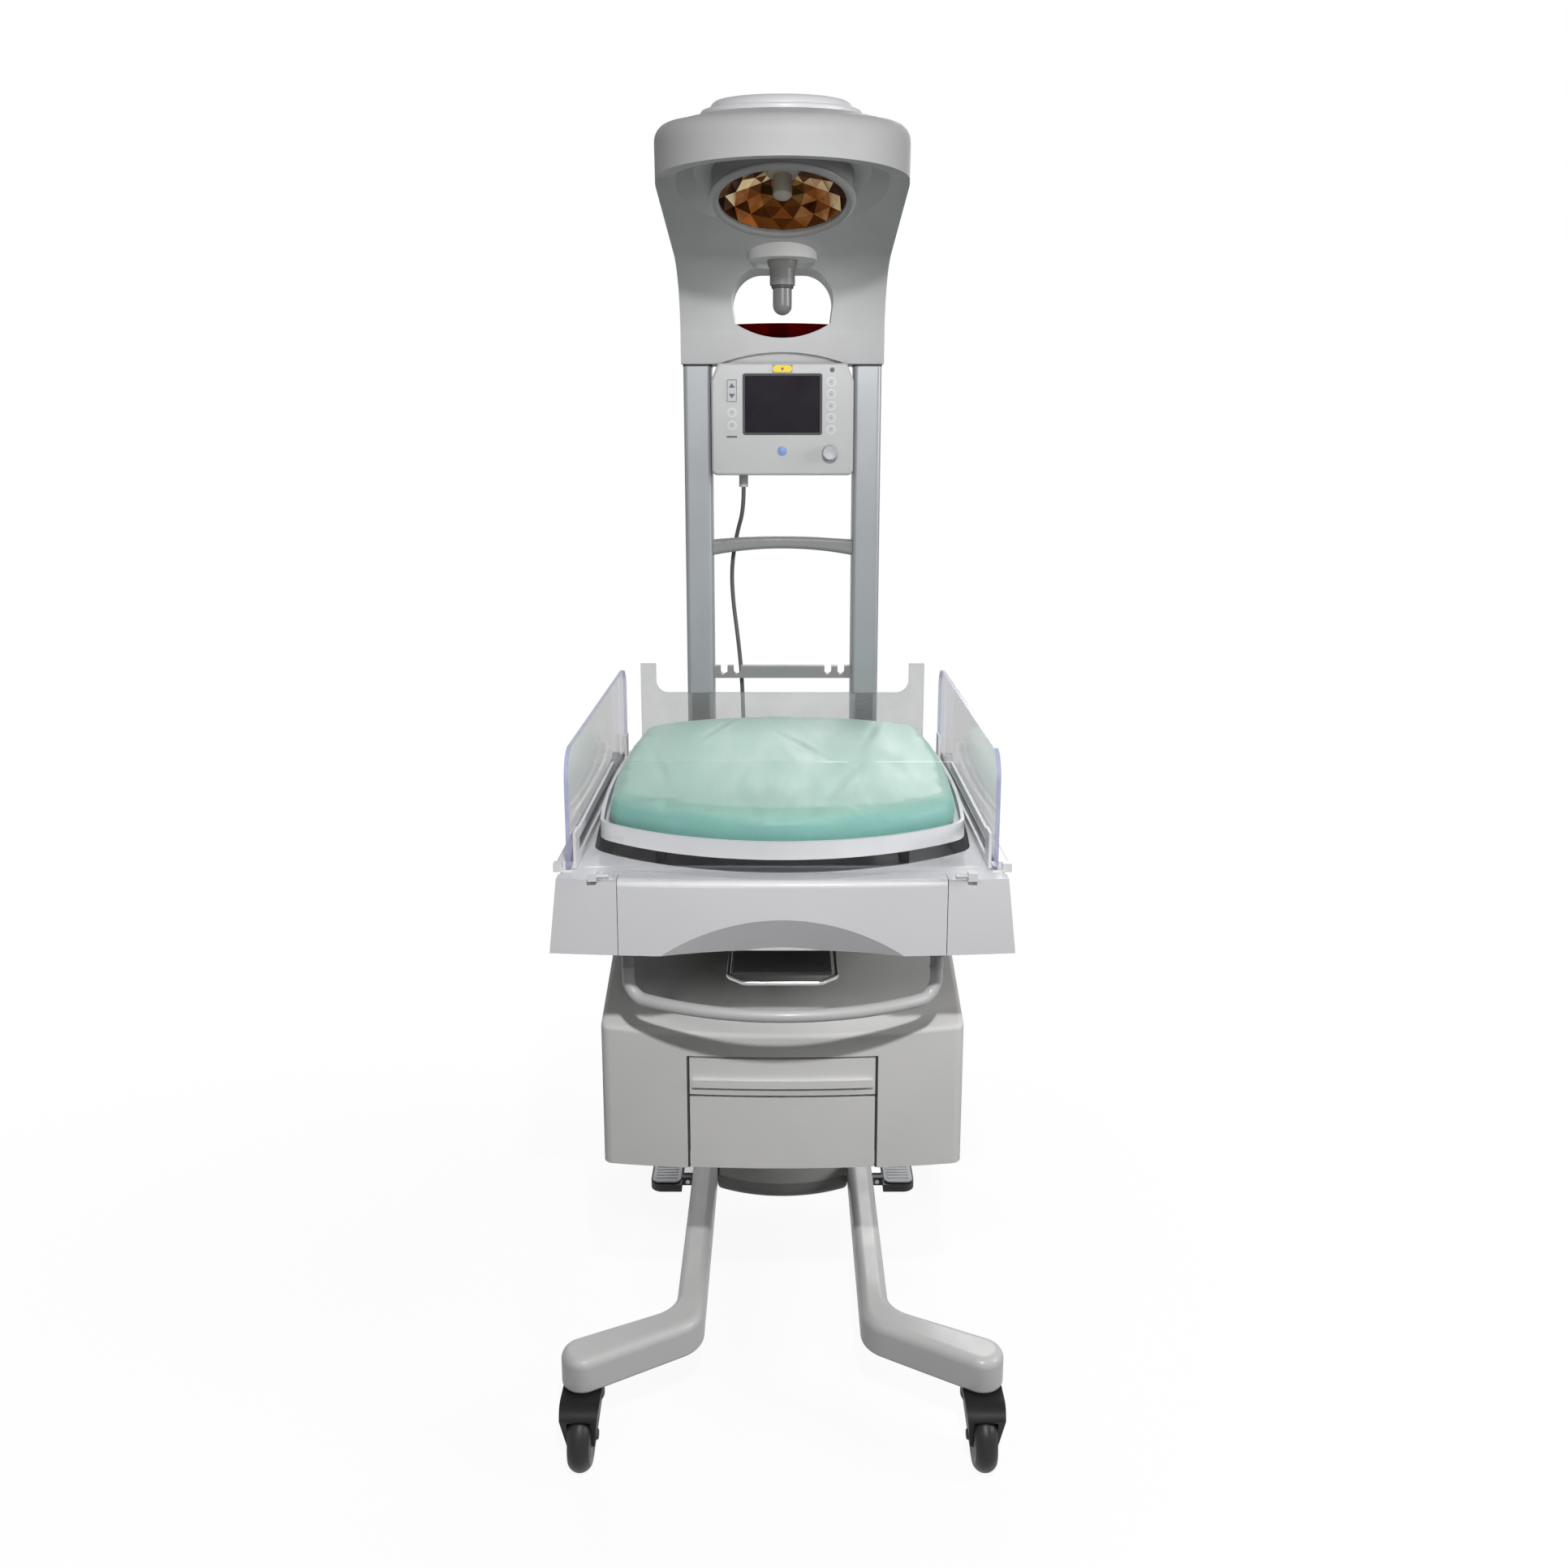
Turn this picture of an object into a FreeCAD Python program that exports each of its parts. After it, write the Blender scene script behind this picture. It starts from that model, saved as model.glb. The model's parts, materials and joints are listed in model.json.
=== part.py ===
# Infant radiant warmer, built from its separate pieces.
# Millimetres, +Z up, front towards -Y, origin on the floor at the middle of the object's box.
import FreeCAD
import Part
import Sketcher
import math
import os
from FreeCAD import Placement, Rotation, Vector

# Driving dimensions: name and value in millimetres (angles in degrees)
SIZES = {
    # casters
    "wheel_diameter": 100,
    "wheel_width": 32,
    "wheel_shoulder": 9,
    "wheel_side_gap": 1,
    "wheel_crown_gap": 3,
    "axle_diameter": 10,
    "caster_trail": 34,
    "caster_half_track": 294,
    "caster_hub_radius": 30,
    "caster_hub_height": 22,
    "fork_wall": 12,
    "fork_foot_wall": 2.5,
    "fork_arm": 15,
    "fork_toe": 17,
    "fork_brow_reach": 33,
    "fork_brow_height": 47,
    "stem_diameter": 16,
    "stem_below_foot": 15,
    "swivel_gap": 0.4,
    "running_gap": 0.05,
    # legs
    "wheelbase": 820,
    "base_centre": 26,
    "caster_rise": 13,
    "leg_height": 55,
    "leg_width": 44,
    "leg_centre": 143,
    "foot_radius": 32,
    "leg_inner_bend": 346,
    "leg_outer_bend": 310,
    "leg_bend_round": 55,
    "leg_top_round": 14,
    "leg_under_round": 6,
    # base pan and lift
    "pan_drop": 15,
    "pan_rise": 18,
    "pan_under_round": 18,
    "shroud_gap": 4,
    "shroud_front_reach": 18,
    "shroud_bow": 30,
    "shroud_rear_reach": 20,
    "shroud_wall": 4,
    "shroud_top": 470,
    "guide_height": 40,
    "guide_gap": 0.3,
    "mast_half_width": 98,
    "mast_front": 168,
    "mast_depth": 157,
    "mast_wall": 5,
    "mast_bottom": 262,
    "actuator_radius": 28,
    "actuator_top": 560,
    "rod_radius": 14,
    "rod_bottom": 300,
    "rod_gap": 0.3,
    # pedals
    "pedal_pin_radius": 4,
    "pedal_pin_out": 11,
    "pedal_pin_height": 125,
    "pedal_pin_length": 54,
    "pedal_bracket_out": 19,
    "pedal_bracket_length": 25,
    "pedal_bracket_height": 21,
    "pedal_ear_width": 12,
    "pedal_ear_size": 16,
    "pedal_ear_gap": 0.5,
    "pedal_length": 94,
    "pedal_reach": 68,
    "pedal_root": 10,
    "pedal_thickness": 14,
    "pedal_round": 22,
    "pedal_middle": 163,
    # chassis
    "chassis_half_width": 178,
    "chassis_front_inset": 20,
    "chassis_rear_reach": 12,
    "chassis_thickness": 12,
    # cabinet and drawers
    "cabinet_half_width": 269,
    "cabinet_front": -290,
    "cabinet_bow": 20,
    "cabinet_rear": 115,
    "cabinet_height": 278,
    "cabinet_front_drop": 57,
    "cabinet_drop": 116,
    "cabinet_slope_end": -115,
    "cabinet_wall": 4,
    "cabinet_corner_round": 16,
    "cabinet_edge_round": 8,
    "cabinet_bracket_half_width": 60,
    "cabinet_bracket_height": 70,
    "drawer_half_width": 137,
    "drawer_gap": 4,
    "drawer_back": 60,
    "drawer_wall": 4,
    "drawer_front_wall": 14,
    "upper_drawer_drop": 158.5,
    "upper_drawer_height": 56.5,
    "ridge_rise": 13.5,
    "ridge_height": 12,
    "ridge_reach": 6,
    "drawer_part_gap": 5.5,
    "lower_drawer_floor_rise": 8,
    "lower_drawer_lip_rise": 2,
    "runner_gap": 0.3,
    "runner_thickness": 3.5,
    "runner_width": 13,
    # pull-out tray
    "tray_drop": 70,
    "tray_thickness": 5,
    "tray_half_width": 157,
    "tray_front": -250,
    "tray_rear": 90,
    "tongue_half_width": 70,
    "tongue_front": -348,
    "hanger_wall": 5,
    "hanger_gap": 1,
    "hanger_ledge": 15,
    "wire_radius": 3.5,
    "wire_half_width": 76,
    "wire_reach": 32,
    "wire_corner": 22,
    # push rail
    "rail_radius": 9,
    "rail_half_width": 193,
    "rail_end": -371,
    "rail_reach": 54,
    "rail_drop": 97,
    "rail_elbow": 28,
    # bed base
    "bed_height": 105,
    "bed_top": 911,
    "bed_side_margin": 50,
    "bed_side_draft": 12,
    "bed_front_margin": 40,
    "bed_bow": 15,
    "bed_edge_round": 9,
    "fascia_back_margin": 21,
    "cap_seam": 219,
    "seam_gap": 1,
    "arch_half_width": 178,
    "arch_rise": 54,
    "arch_depth": 26,
    "well_gap": 8,
    "well_floor": 12,
    # mattress and deck
    "mattress_half_width": 262,
    "mattress_front_taper": 12,
    "mattress_rear_taper": 15,
    "mattress_front": -400,
    "mattress_front_slant": 95,
    "mattress_rear_slant": 84,
    "mattress_rear_gap": 21,
    "mattress_corner_round": 48,
    "mattress_height": 54,
    "mattress_crown": 4,
    "mattress_tuck": 5,
    "deck_margin": 8,
    "deck_wall": 5,
    "deck_rise": 15,
    "deck_floor": 8,
    "deck_lip": 25,
    "tilt_axis_y": -65,
    "tilt_axis_drop": 21,
    "tilt_shaft_radius": 10,
    "tilt_shaft_half_length": 215,
    "tilt_bracket_x": 188,
    "tilt_bracket_width": 14,
    "tilt_bracket_half_length": 22,
    "tilt_bracket_cover": 13,
    "tilt_lug_x": 112,
    "tilt_lug_half_length": 20,
    "tilt_lug_below": 15,
    # clear panels
    "panel_thickness": 6,
    "panel_round": 40,
    "side_panel_margin": 23,
    "side_panel_front_margin": 24,
    "side_panel_rear_gap": 45,
    "side_panel_height": 167,
    "front_panel_gap": 25,
    "front_panel_margin": 4,
    "front_panel_height": 155,
    "panel_axis_rise": 6,
    "side_axis_margin": 40,
    "front_axis_margin": 49,
    "panel_rail_half_height": 5,
    "panel_rail_inset": 22,
    "panel_clip_wall": 4,
    "panel_clip_height": 40,
    "panel_clip_length": 32,
    "panel_strip_rise": 35,
    "panel_strip_height": 12,
    "panel_strip_length": 420,
    "pivot_radius": 3,
    "pivot_length": 16,
    "pivot_lug_width": 12,
    "pivot_lug_gap": 0.5,
    "pivot_lug_half": 6,
    "back_panel_inset": 2,
    "back_panel_height": 166,
    "back_panel_waist_height": 112,
    "back_panel_horn": 28,
    "back_panel_round": 22,
    # columns and bars
    "column_inner": 126,
    "column_width": 49,
    "column_front": 295,
    "column_depth": 65,
    "head_height": 318,
    "column_wall": 4,
    "column_round": 8,
    "cross_bar_setback": 5,
    "cross_bar_depth": 24,
    "cross_bar_drop": 144,
    "cross_bar_end_height": 28,
    "cross_bar_height": 22,
    "cross_bar_rise": 12,
    "cross_bar_round": 7,
    "tubing_bar_setback": 8,
    "tubing_bar_depth": 18,
    "tubing_bar_rise": 137,
    "tubing_bar_height": 22,
    "tubing_notch_width": 13,
    "tubing_notch_depth": 11,
    "tubing_notch_outer": 108,
    "tubing_notch_pitch": 24,
    # control panel
    "control_side_gap": 1.5,
    "control_top_half_width": 112,
    "control_shoulder": 30,
    "control_reach": 33,
    "control_setback": 35,
    "control_height": 192,
    "control_round": 10,
    "screen_half_width": 68,
    "screen_rise": 71,
    "screen_height": 102,
    "screen_depth": 3,
    "knob_x": 83,
    "knob_rise": 39,
    "knob_radius": 14,
    "knob_length": 18,
    "knob_gap": 0.5,
    "knob_shaft_radius": 3,
    "knob_shaft_length": 12,
    "alarm_key_drop": 10,
    "alarm_key_half_width": 17,
    "alarm_key_height": 12,
    "key_gap": 0.35,
    "key_depth": 8,
    "key_proud": 3,
    "key_travel_room": 3,
    "rocker_x": -88,
    "rocker_drop": 47,
    "rocker_width": 15,
    "rocker_height": 36,
    "rocker_depth": 9,
    "rocker_room": 4,
    "rocker_gap": 0.9,
    "rocker_pin_radius": 1.5,
    "membrane_radius": 8.5,
    "membrane_proud": 0.8,
    "membrane_right_x": 85,
    "membrane_right_drop": 32,
    "membrane_right_pitch": 20.25,
    "membrane_left_drop": 84,
    "membrane_left_pitch": 22,
    # head
    "head_overhang": 2,
    "neck_rear_reach": 97,
    "neck_front_reach": 5,
    "hood_centre_y": -65,
    "hood_half_width": 186,
    "hood_rise": 6.5,
    "hood_lip_width": 25,
    "hood_lip_height": 56,
    "hood_dome_rise": 22,
    "hood_dome_top": 1928,
    "hood_edge_round": 26,
    "hood_under_start": 10,
    "hood_under_rise": 172,
    "hood_nose_drop": 14,
    "dish_radius": 156,
    "dish_floor_radius": 130,
    "dish_depth": 18,
    "head_tool_margin": 10,
    "head_back_start": 250,
    "head_back_reach": 92,
    "head_back_drop": 86,
    "head_back_foot": 40,
    "neck_face_height": 58,
    "neck_sweep_reach": 28,
    "neck_sweep_rise": 128,
    "neck_round": 50,
    "neck_arch_rise": 20,
    "neck_arch_depth": 11,
    "window_half_width": 88,
    "window_top_rise": 155,
    "window_sill_rise": 44,
    "window_corner_rise": 69,
    "window_round": 52,
    "window_lean": 4,
    "cap_radius": 118,
    "cap_top_radius": 92,
    "cap_seat_rise": 6,
    "cap_height": 30,
    "cap_flange": 11,
    "cap_flange_round": 4,
    "cap_step": 13,
    "cap_dome": 6,
    "heater_tilt": 18.5,
    "heater_drop": 82,
    "can_radius": 104,
    "can_wall": 7.5,
    "can_height": 50,
    "can_roof": 2,
    "can_gap": 0.3,
    "ring_radius": 108,
    "ring_height": 8,
    "ring_overlap": 3,
    "ring_crest": 6,
    "reflector_hole": 26,
    "reflector_wall": 1.6,
    "element_radius": 23,
    "element_stem_radius": 14,
    "element_collar": 8,
    "element_taper": 4,
    # examination lamp
    "lamp_y": 200,
    "lamp_rise": 162,
    "turret_radius": 58,
    "turret_height": 34,
    "turret_gap": 0.3,
    "ball_radius": 25,
    "ball_gap": 0.35,
    "barrel_radius": 21,
    "barrel_length": 40,
    "tip_radius": 16,
    "tip_length": 48,
    "tip_socket": 8,
    # alarm lens
    "alarm_setback": 45,
    "alarm_depth": 48,
    "alarm_lens_rise": 73,
    "alarm_gap": 0.3,
    # cable
    "cable_radius": 3.75,
    "gland_radius": 8,
    "gland_height": 22,
}

# Directions of the splayed arm that carries each foot
ARM_ACROSS = math.cos(math.radians(31.3))
ARM_ALONG = math.sin(math.radians(31.3))

doc = FreeCAD.newDocument("InfantRadiantWarmer")
NODES = []


class Size:
    """A length that carries its number and the sheet expression it comes from."""

    def __init__(self, value, text):
        self.value = float(value)
        self.text = text

    def __add__(self, other):
        other = as_size(other)
        return Size(self.value + other.value, f"({self.text} + {other.text})")

    def __sub__(self, other):
        other = as_size(other)
        return Size(self.value - other.value, f"({self.text} - {other.text})")

    def __mul__(self, other):
        other = as_size(other)
        return Size(self.value * other.value, f"({self.text} * {other.text})")

    def __truediv__(self, other):
        other = as_size(other)
        return Size(self.value / other.value, f"({self.text} / {other.text})")

    def __neg__(self):
        return self * -1

    def root(self):
        """The square root."""
        return Size(math.sqrt(self.value), f"sqrt({self.text})")

    __radd__ = __add__
    __rmul__ = __mul__


class Sheet:
    """The spreadsheet of driving dimensions; each one is read back as a Size by its name."""

    def __init__(self):
        cells = doc.addObject("Spreadsheet::Sheet", "Sizes")
        for row, (name, value) in enumerate(SIZES.items(), start=1):
            cells.set(f"A{row}", name)
            cells.set(f"B{row}", str(value))
            cells.setAlias(f"B{row}", name)
        doc.recompute()
        for name in SIZES:
            setattr(self, name, Size(cells.get(name), f"Sizes.{name}"))
        self.place()

    def place(self):
        """Work out levels and faces from the sizes, each at its distance from what carries it."""
        self.leg_bottom = self.wheel_diameter + self.caster_rise
        self.pan_bottom = self.leg_bottom - self.pan_drop
        self.pan_top = self.leg_bottom + self.pan_rise
        self.mast_rear = self.mast_front + self.mast_depth
        self.shroud_front = self.mast_front - self.shroud_front_reach
        self.shroud_rear = self.mast_rear + self.shroud_rear_reach
        self.bed_bottom = self.bed_top - self.bed_height
        self.tray_bottom = self.bed_bottom - self.tray_drop
        self.wire_front = self.tongue_front - self.wire_reach
        self.rail_height = self.bed_bottom - self.rail_drop
        self.cabinet_top = self.bed_bottom - self.cabinet_drop
        self.cabinet_front_top = self.cabinet_top - self.cabinet_front_drop
        self.cabinet_bottom = self.cabinet_top - self.cabinet_height
        self.cabinet_bracket_bottom = self.cabinet_top - self.cabinet_bracket_height
        self.upper_drawer_bottom = self.cabinet_top - self.upper_drawer_drop
        self.upper_drawer_top = self.upper_drawer_bottom + self.upper_drawer_height
        self.ridge_bottom = self.upper_drawer_bottom + self.ridge_rise
        self.lower_drawer_top = self.upper_drawer_bottom - self.drawer_part_gap
        self.lower_drawer_floor = self.cabinet_bottom + self.lower_drawer_floor_rise
        self.lower_drawer_lip = self.cabinet_bottom + self.lower_drawer_lip_rise
        self.bed_half_width = self.mattress_half_width + self.bed_side_margin
        self.bed_front = self.mattress_front - self.bed_front_margin
        self.fascia_back = self.mattress_front - self.fascia_back_margin
        self.chassis_front = self.mattress_front + self.chassis_front_inset
        self.mattress_front_half_width = self.mattress_half_width - self.mattress_front_taper
        self.mattress_rear_half_width = self.mattress_half_width - self.mattress_rear_taper
        self.mattress_front_corner = self.mattress_front + self.mattress_front_slant
        self.mattress_rear = self.column_front - self.mattress_rear_gap
        self.mattress_rear_corner = self.mattress_rear - self.mattress_rear_slant
        self.deck_bottom = self.bed_top + self.deck_rise
        self.tilt_axis_z = self.deck_bottom - self.tilt_axis_drop
        self.side_panel_x = self.mattress_half_width + self.side_panel_margin
        self.side_panel_front = self.mattress_front - self.side_panel_front_margin
        self.side_panel_rear = self.column_front - self.side_panel_rear_gap
        self.side_panel_top = self.bed_top + self.side_panel_height
        self.front_panel_y = self.mattress_front - self.front_panel_gap
        self.front_panel_half_width = self.mattress_half_width + self.front_panel_margin
        self.front_panel_top = self.bed_top + self.front_panel_height
        self.panel_axis_z = self.bed_top + self.panel_axis_rise
        self.side_axis_x = self.mattress_half_width + self.side_axis_margin
        self.front_axis_y = self.mattress_front - self.front_axis_margin
        self.panel_strip_low = self.bed_top + self.panel_strip_rise
        self.back_panel_half_width = self.mattress_half_width - self.back_panel_inset
        self.back_panel_top = self.bed_top + self.back_panel_height
        self.back_panel_waist = self.bed_top + self.back_panel_waist_height
        self.column_rear = self.column_front + self.column_depth
        self.column_outer = self.column_inner + self.column_width
        self.chassis_rear = self.column_rear + self.chassis_rear_reach
        self.column_top = self.hood_dome_top - self.head_height
        self.cross_bar_front = self.column_front + self.cross_bar_setback
        self.tubing_bar_front = self.column_front + self.tubing_bar_setback
        self.tubing_bar_bottom = self.bed_top + self.tubing_bar_rise
        self.control_half_width = self.column_inner - self.control_side_gap
        self.control_front = self.column_front - self.control_reach
        self.control_rear = self.column_front + self.control_setback
        self.control_bottom = self.column_top - self.control_height
        self.cross_bar_bottom = self.control_bottom - self.cross_bar_drop
        self.screen_bottom = self.control_bottom + self.screen_rise
        self.knob_z = self.control_bottom + self.knob_rise
        self.alarm_key_z = self.column_top - self.alarm_key_drop
        self.rocker_z = self.column_top - self.rocker_drop
        self.membrane_right_top = self.column_top - self.membrane_right_drop
        self.membrane_left_top = self.column_top - self.membrane_left_drop
        self.head_half_width = self.column_outer + self.head_overhang
        self.neck_rear = self.column_front + self.neck_rear_reach
        self.neck_front = self.column_front - self.neck_front_reach
        self.hood_rim_top = self.hood_dome_top - self.hood_dome_rise
        self.hood_lip_bottom = self.hood_rim_top - self.hood_lip_height
        self.cap_seat = self.hood_rim_top + self.cap_seat_rise
        self.heater_z = self.hood_rim_top - self.heater_drop
        self.window_top = self.column_top + self.window_top_rise
        self.window_sill = self.column_top + self.window_sill_rise
        self.window_corner_z = self.column_top + self.window_corner_rise
        self.lamp_z = self.column_top + self.lamp_rise
        self.alarm_front = self.column_front + self.alarm_setback
        self.alarm_top = self.column_top + self.alarm_lens_rise


class Via:
    """The point that an arc passes through between two corners of an outline."""

    def __init__(self, across, up):
        self.across = across
        self.up = up


class Circle:
    """A round outline."""

    def __init__(self, across, up, radius):
        self.across = across
        self.up = up
        self.radius = radius


def as_size(number):
    """Give a plain number the same form as a named size."""
    if isinstance(number, Size):
        return number
    return Size(number, repr(float(number)))


def value(number):
    """Read a size as a plain number."""
    return as_size(number).value


S = Sheet()


# Sketches and features

def keep(piece):
    """Hand a finished piece in as a node."""
    NODES.append(piece)
    return piece


def new_body(label):
    """Start a piece that is made from sketches and features."""
    body = doc.addObject("PartDesign::Body", label)
    body.Label = label
    return body


def put(piece, x=0, y=0, z=0, turn=None):
    """Place a piece; each coordinate stays bound to its sizes."""
    if turn:
        piece.Placement = Placement(Vector(), turn)
    for axis, distance in zip("xyz", (x, y, z)):
        piece.setExpression(f"Placement.Base.{axis}", as_size(distance).text)
    return piece


def fix(sketch, kind, geometry, point, distance):
    """Hold one coordinate of a sketch point at a size."""
    distance = as_size(distance)
    index = sketch.addConstraint(Sketcher.Constraint(kind, geometry, point, distance.value))
    sketch.setExpression(f"Constraints[{index}]", distance.text)


def draw_circle(sketch, ring):
    """Draw a round outline held at its centre and radius."""
    centre = Vector(value(ring.across), value(ring.up), 0)
    geometry = sketch.addGeometry(Part.Circle(centre, Vector(0, 0, 1), value(ring.radius)), False)
    fix(sketch, "DistanceX", geometry, 3, ring.across)
    fix(sketch, "DistanceY", geometry, 3, ring.up)
    index = sketch.addConstraint(Sketcher.Constraint("Radius", geometry, value(ring.radius)))
    sketch.setExpression(f"Constraints[{index}]", as_size(ring.radius).text)


def legs_of(outline):
    """Split a closed outline into (start, arc point or None, end)."""
    corners = [place for place, item in enumerate(outline) if not isinstance(item, Via)]
    result = []
    for here, following in zip(corners, corners[1:] + corners[:1]):
        between = outline[(here + 1) % len(outline)]
        bend = between if isinstance(between, Via) else None
        result.append((outline[here], bend, outline[following]))
    return result


def draw_outline(sketch, outline):
    """Draw a closed outline of lines and arcs, each corner held at its sizes."""
    ends = []
    for start, bend, end in legs_of(outline):
        first = Vector(value(start[0]), value(start[1]), 0)
        last = Vector(value(end[0]), value(end[1]), 0)
        if bend is None:
            geometry = sketch.addGeometry(Part.LineSegment(first, last), False)
            ends.append((geometry, 1, 2))
            continue
        middle = Vector(value(bend.across), value(bend.up), 0)
        geometry = sketch.addGeometry(Part.Arc(first, middle, last), False)
        near = sketch.getPoint(geometry, 1).distanceToPoint(first)
        far = sketch.getPoint(geometry, 2).distanceToPoint(first)
        ends.append((geometry, 1, 2) if near < far else (geometry, 2, 1))
        marker = sketch.addGeometry(Part.Point(middle), True)
        fix(sketch, "DistanceX", marker, 1, bend.across)
        fix(sketch, "DistanceY", marker, 1, bend.up)
        sketch.addConstraint(Sketcher.Constraint("PointOnObject", marker, 1, geometry))
    for (geometry, _, tail), (following, head, _) in zip(ends, ends[1:] + ends[:1]):
        sketch.addConstraint(Sketcher.Constraint("Coincident", geometry, tail, following, head))
    for (geometry, head, _), (start, _, _) in zip(ends, legs_of(outline)):
        fix(sketch, "DistanceX", geometry, head, start[0])
        fix(sketch, "DistanceY", geometry, head, start[1])


def sketch_on(body, plane, outlines, level):
    """Sketch outlines on a body's own origin plane, moved to a level along the plane's normal."""
    sketch = body.newObject("Sketcher::SketchObject", f"{body.Name}_sketch")
    support = [item for item in body.Origin.OriginFeatures if item.Role == f"{plane}_Plane"][0]
    sketch.AttachmentSupport = (support, [""])
    sketch.MapMode = "FlatFace"
    sketch.setExpression("AttachmentOffset.Base.z", as_size(level).text)
    for outline in outlines:
        if isinstance(outline, Circle):
            draw_circle(sketch, outline)
        else:
            draw_outline(sketch, outline)
    return sketch


def add(body, plane, outlines, low, high):
    """Add a pad between two levels; the XZ plane looks along -Y, so its levels turn round."""
    low = as_size(low)
    high = as_size(high)
    level = -high if plane == "XZ" else low
    pad = body.newObject("PartDesign::Pad", f"{body.Name}_pad")
    pad.Profile = sketch_on(body, plane, outlines, level)
    pad.setExpression("Length", (high - low).text)
    doc.recompute()
    return body


def cut(body, plane, outlines, low, high):
    """Cut a pocket between two levels, and make sure that it took material away."""
    low = as_size(low)
    high = as_size(high)
    before = body.Shape.Volume
    level = -low if plane == "XZ" else high
    pocket = body.newObject("PartDesign::Pocket", f"{body.Name}_pocket")
    pocket.Profile = sketch_on(body, plane, outlines, level)
    pocket.setExpression("Length", (high - low).text)
    doc.recompute()
    if body.Shape.Volume >= before:
        raise RuntimeError(f"a pocket of {body.Label} cut nothing")
    return body


def round_edges(body, radius, pick):
    """Round the edges of a body that a test picks."""
    base = body.Tip
    names = [f"Edge{number}" for number, edge in enumerate(base.Shape.Edges, start=1) if pick(edge)]
    fillet = body.newObject("PartDesign::Fillet", f"{body.Name}_round")
    fillet.Base = (base, names)
    fillet.setExpression("Radius", as_size(radius).text)
    doc.recompute()
    if not body.Shape.isValid():
        raise RuntimeError(f"a rounding of {body.Label} failed")
    return body


def turned(label, outline):
    """Turn an outline of (radius, height) about Z."""
    body = new_body(label)
    sketch = sketch_on(body, "XZ", [outline], 0)
    revolution = body.newObject("PartDesign::Revolution", f"{label}_turn")
    revolution.Profile = sketch
    revolution.ReferenceAxis = (sketch, ["V_Axis"])
    revolution.Angle = 360
    doc.recompute()
    return body


def rectangle(left, right, low, high):
    """A rectangular outline."""
    return [(left, low), (right, low), (right, high), (left, high)]


def block(label, x, y, z):
    """A plain block between pairs of levels."""
    body = new_body(label)
    add(body, "XY", [rectangle(x[0], x[1], y[0], y[1])], z[0], z[1])
    return body


def rod(label, radius, length):
    """A plain round rod along Z from its own origin."""
    piece = doc.addObject("Part::Cylinder", label)
    piece.Label = label
    piece.setExpression("Radius", as_size(radius).text)
    piece.setExpression("Height", as_size(length).text)
    return piece


def group(label, pieces):
    """Join like pieces in one node, as separate solids."""
    bundle = doc.addObject("Part::Compound", label)
    bundle.Label = label
    bundle.Links = pieces
    doc.recompute()
    return keep(bundle)


def dome_drop(edge_radius, rise, radius):
    """How far below its top a round dome lies at a radius, for a dome that rises over an edge radius."""
    ball = (edge_radius * edge_radius + rise * rise) / (rise * 2)
    return ball - (ball * ball - radius * radius).root()


def upright(edge):
    """True for a straight edge along Z."""
    return runs_along(edge, Vector(0, 0, 1))


def runs_along(edge, direction):
    """True for a straight edge along a direction."""
    if len(edge.Vertexes) != 2 or not isinstance(edge.Curve, Part.Line):
        return False
    return abs(edge.tangentAt(edge.FirstParameter).dot(direction)) > 0.999


def middle_of(edge):
    """The middle of an edge's box."""
    return edge.BoundBox.Center


def at_level(edge, level):
    """True for an edge that lies flat at a height."""
    box = edge.BoundBox
    return abs(box.ZMin - value(level)) < 0.01 and abs(box.ZMax - value(level)) < 0.01


# Free-form outlines for the few pieces that sketches can't make

def wire_of(outline, to_world):
    """Make a closed wire of lines and arcs from an outline."""
    edges = []
    for start, bend, end in legs_of(outline):
        first = to_world(value(start[0]), value(start[1]))
        last = to_world(value(end[0]), value(end[1]))
        if bend is None:
            edges.append(Part.LineSegment(first, last).toShape())
        else:
            middle = to_world(value(bend.across), value(bend.up))
            edges.append(Part.Arc(first, middle, last).toShape())
    return Part.Wire(edges)


def prism(outline, to_world, travel):
    """Extrude a flat outline along a vector."""
    return Part.Face(wire_of(outline, to_world)).extrude(travel)


def side_view(across, up):
    """A point of the side view: Y and Z."""
    return Vector(0, across, up)


def front_view(across, up):
    """A point of the front view: X and Z."""
    return Vector(across, 0, up)


def free_form(label, shape):
    """Keep a shape that Part's own functions made."""
    piece = doc.addObject("Part::Feature", label)
    piece.Label = label
    piece.Shape = shape
    return piece


# Rolling base

def foot_points(side, end):
    """The front tangent point, tip and rear tangent point of the round foot at one corner."""
    centre_x = side * S.caster_half_track
    centre_y = S.base_centre + end * S.wheelbase / 2
    across = S.foot_radius * ARM_ACROSS
    along = S.foot_radius * ARM_ALONG
    inner = (centre_x - side * along, centre_y + end * across)
    tip = Via(centre_x + side * across, centre_y + end * along)
    outer = (centre_x + side * along, centre_y - end * across)
    return inner, tip, outer


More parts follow.
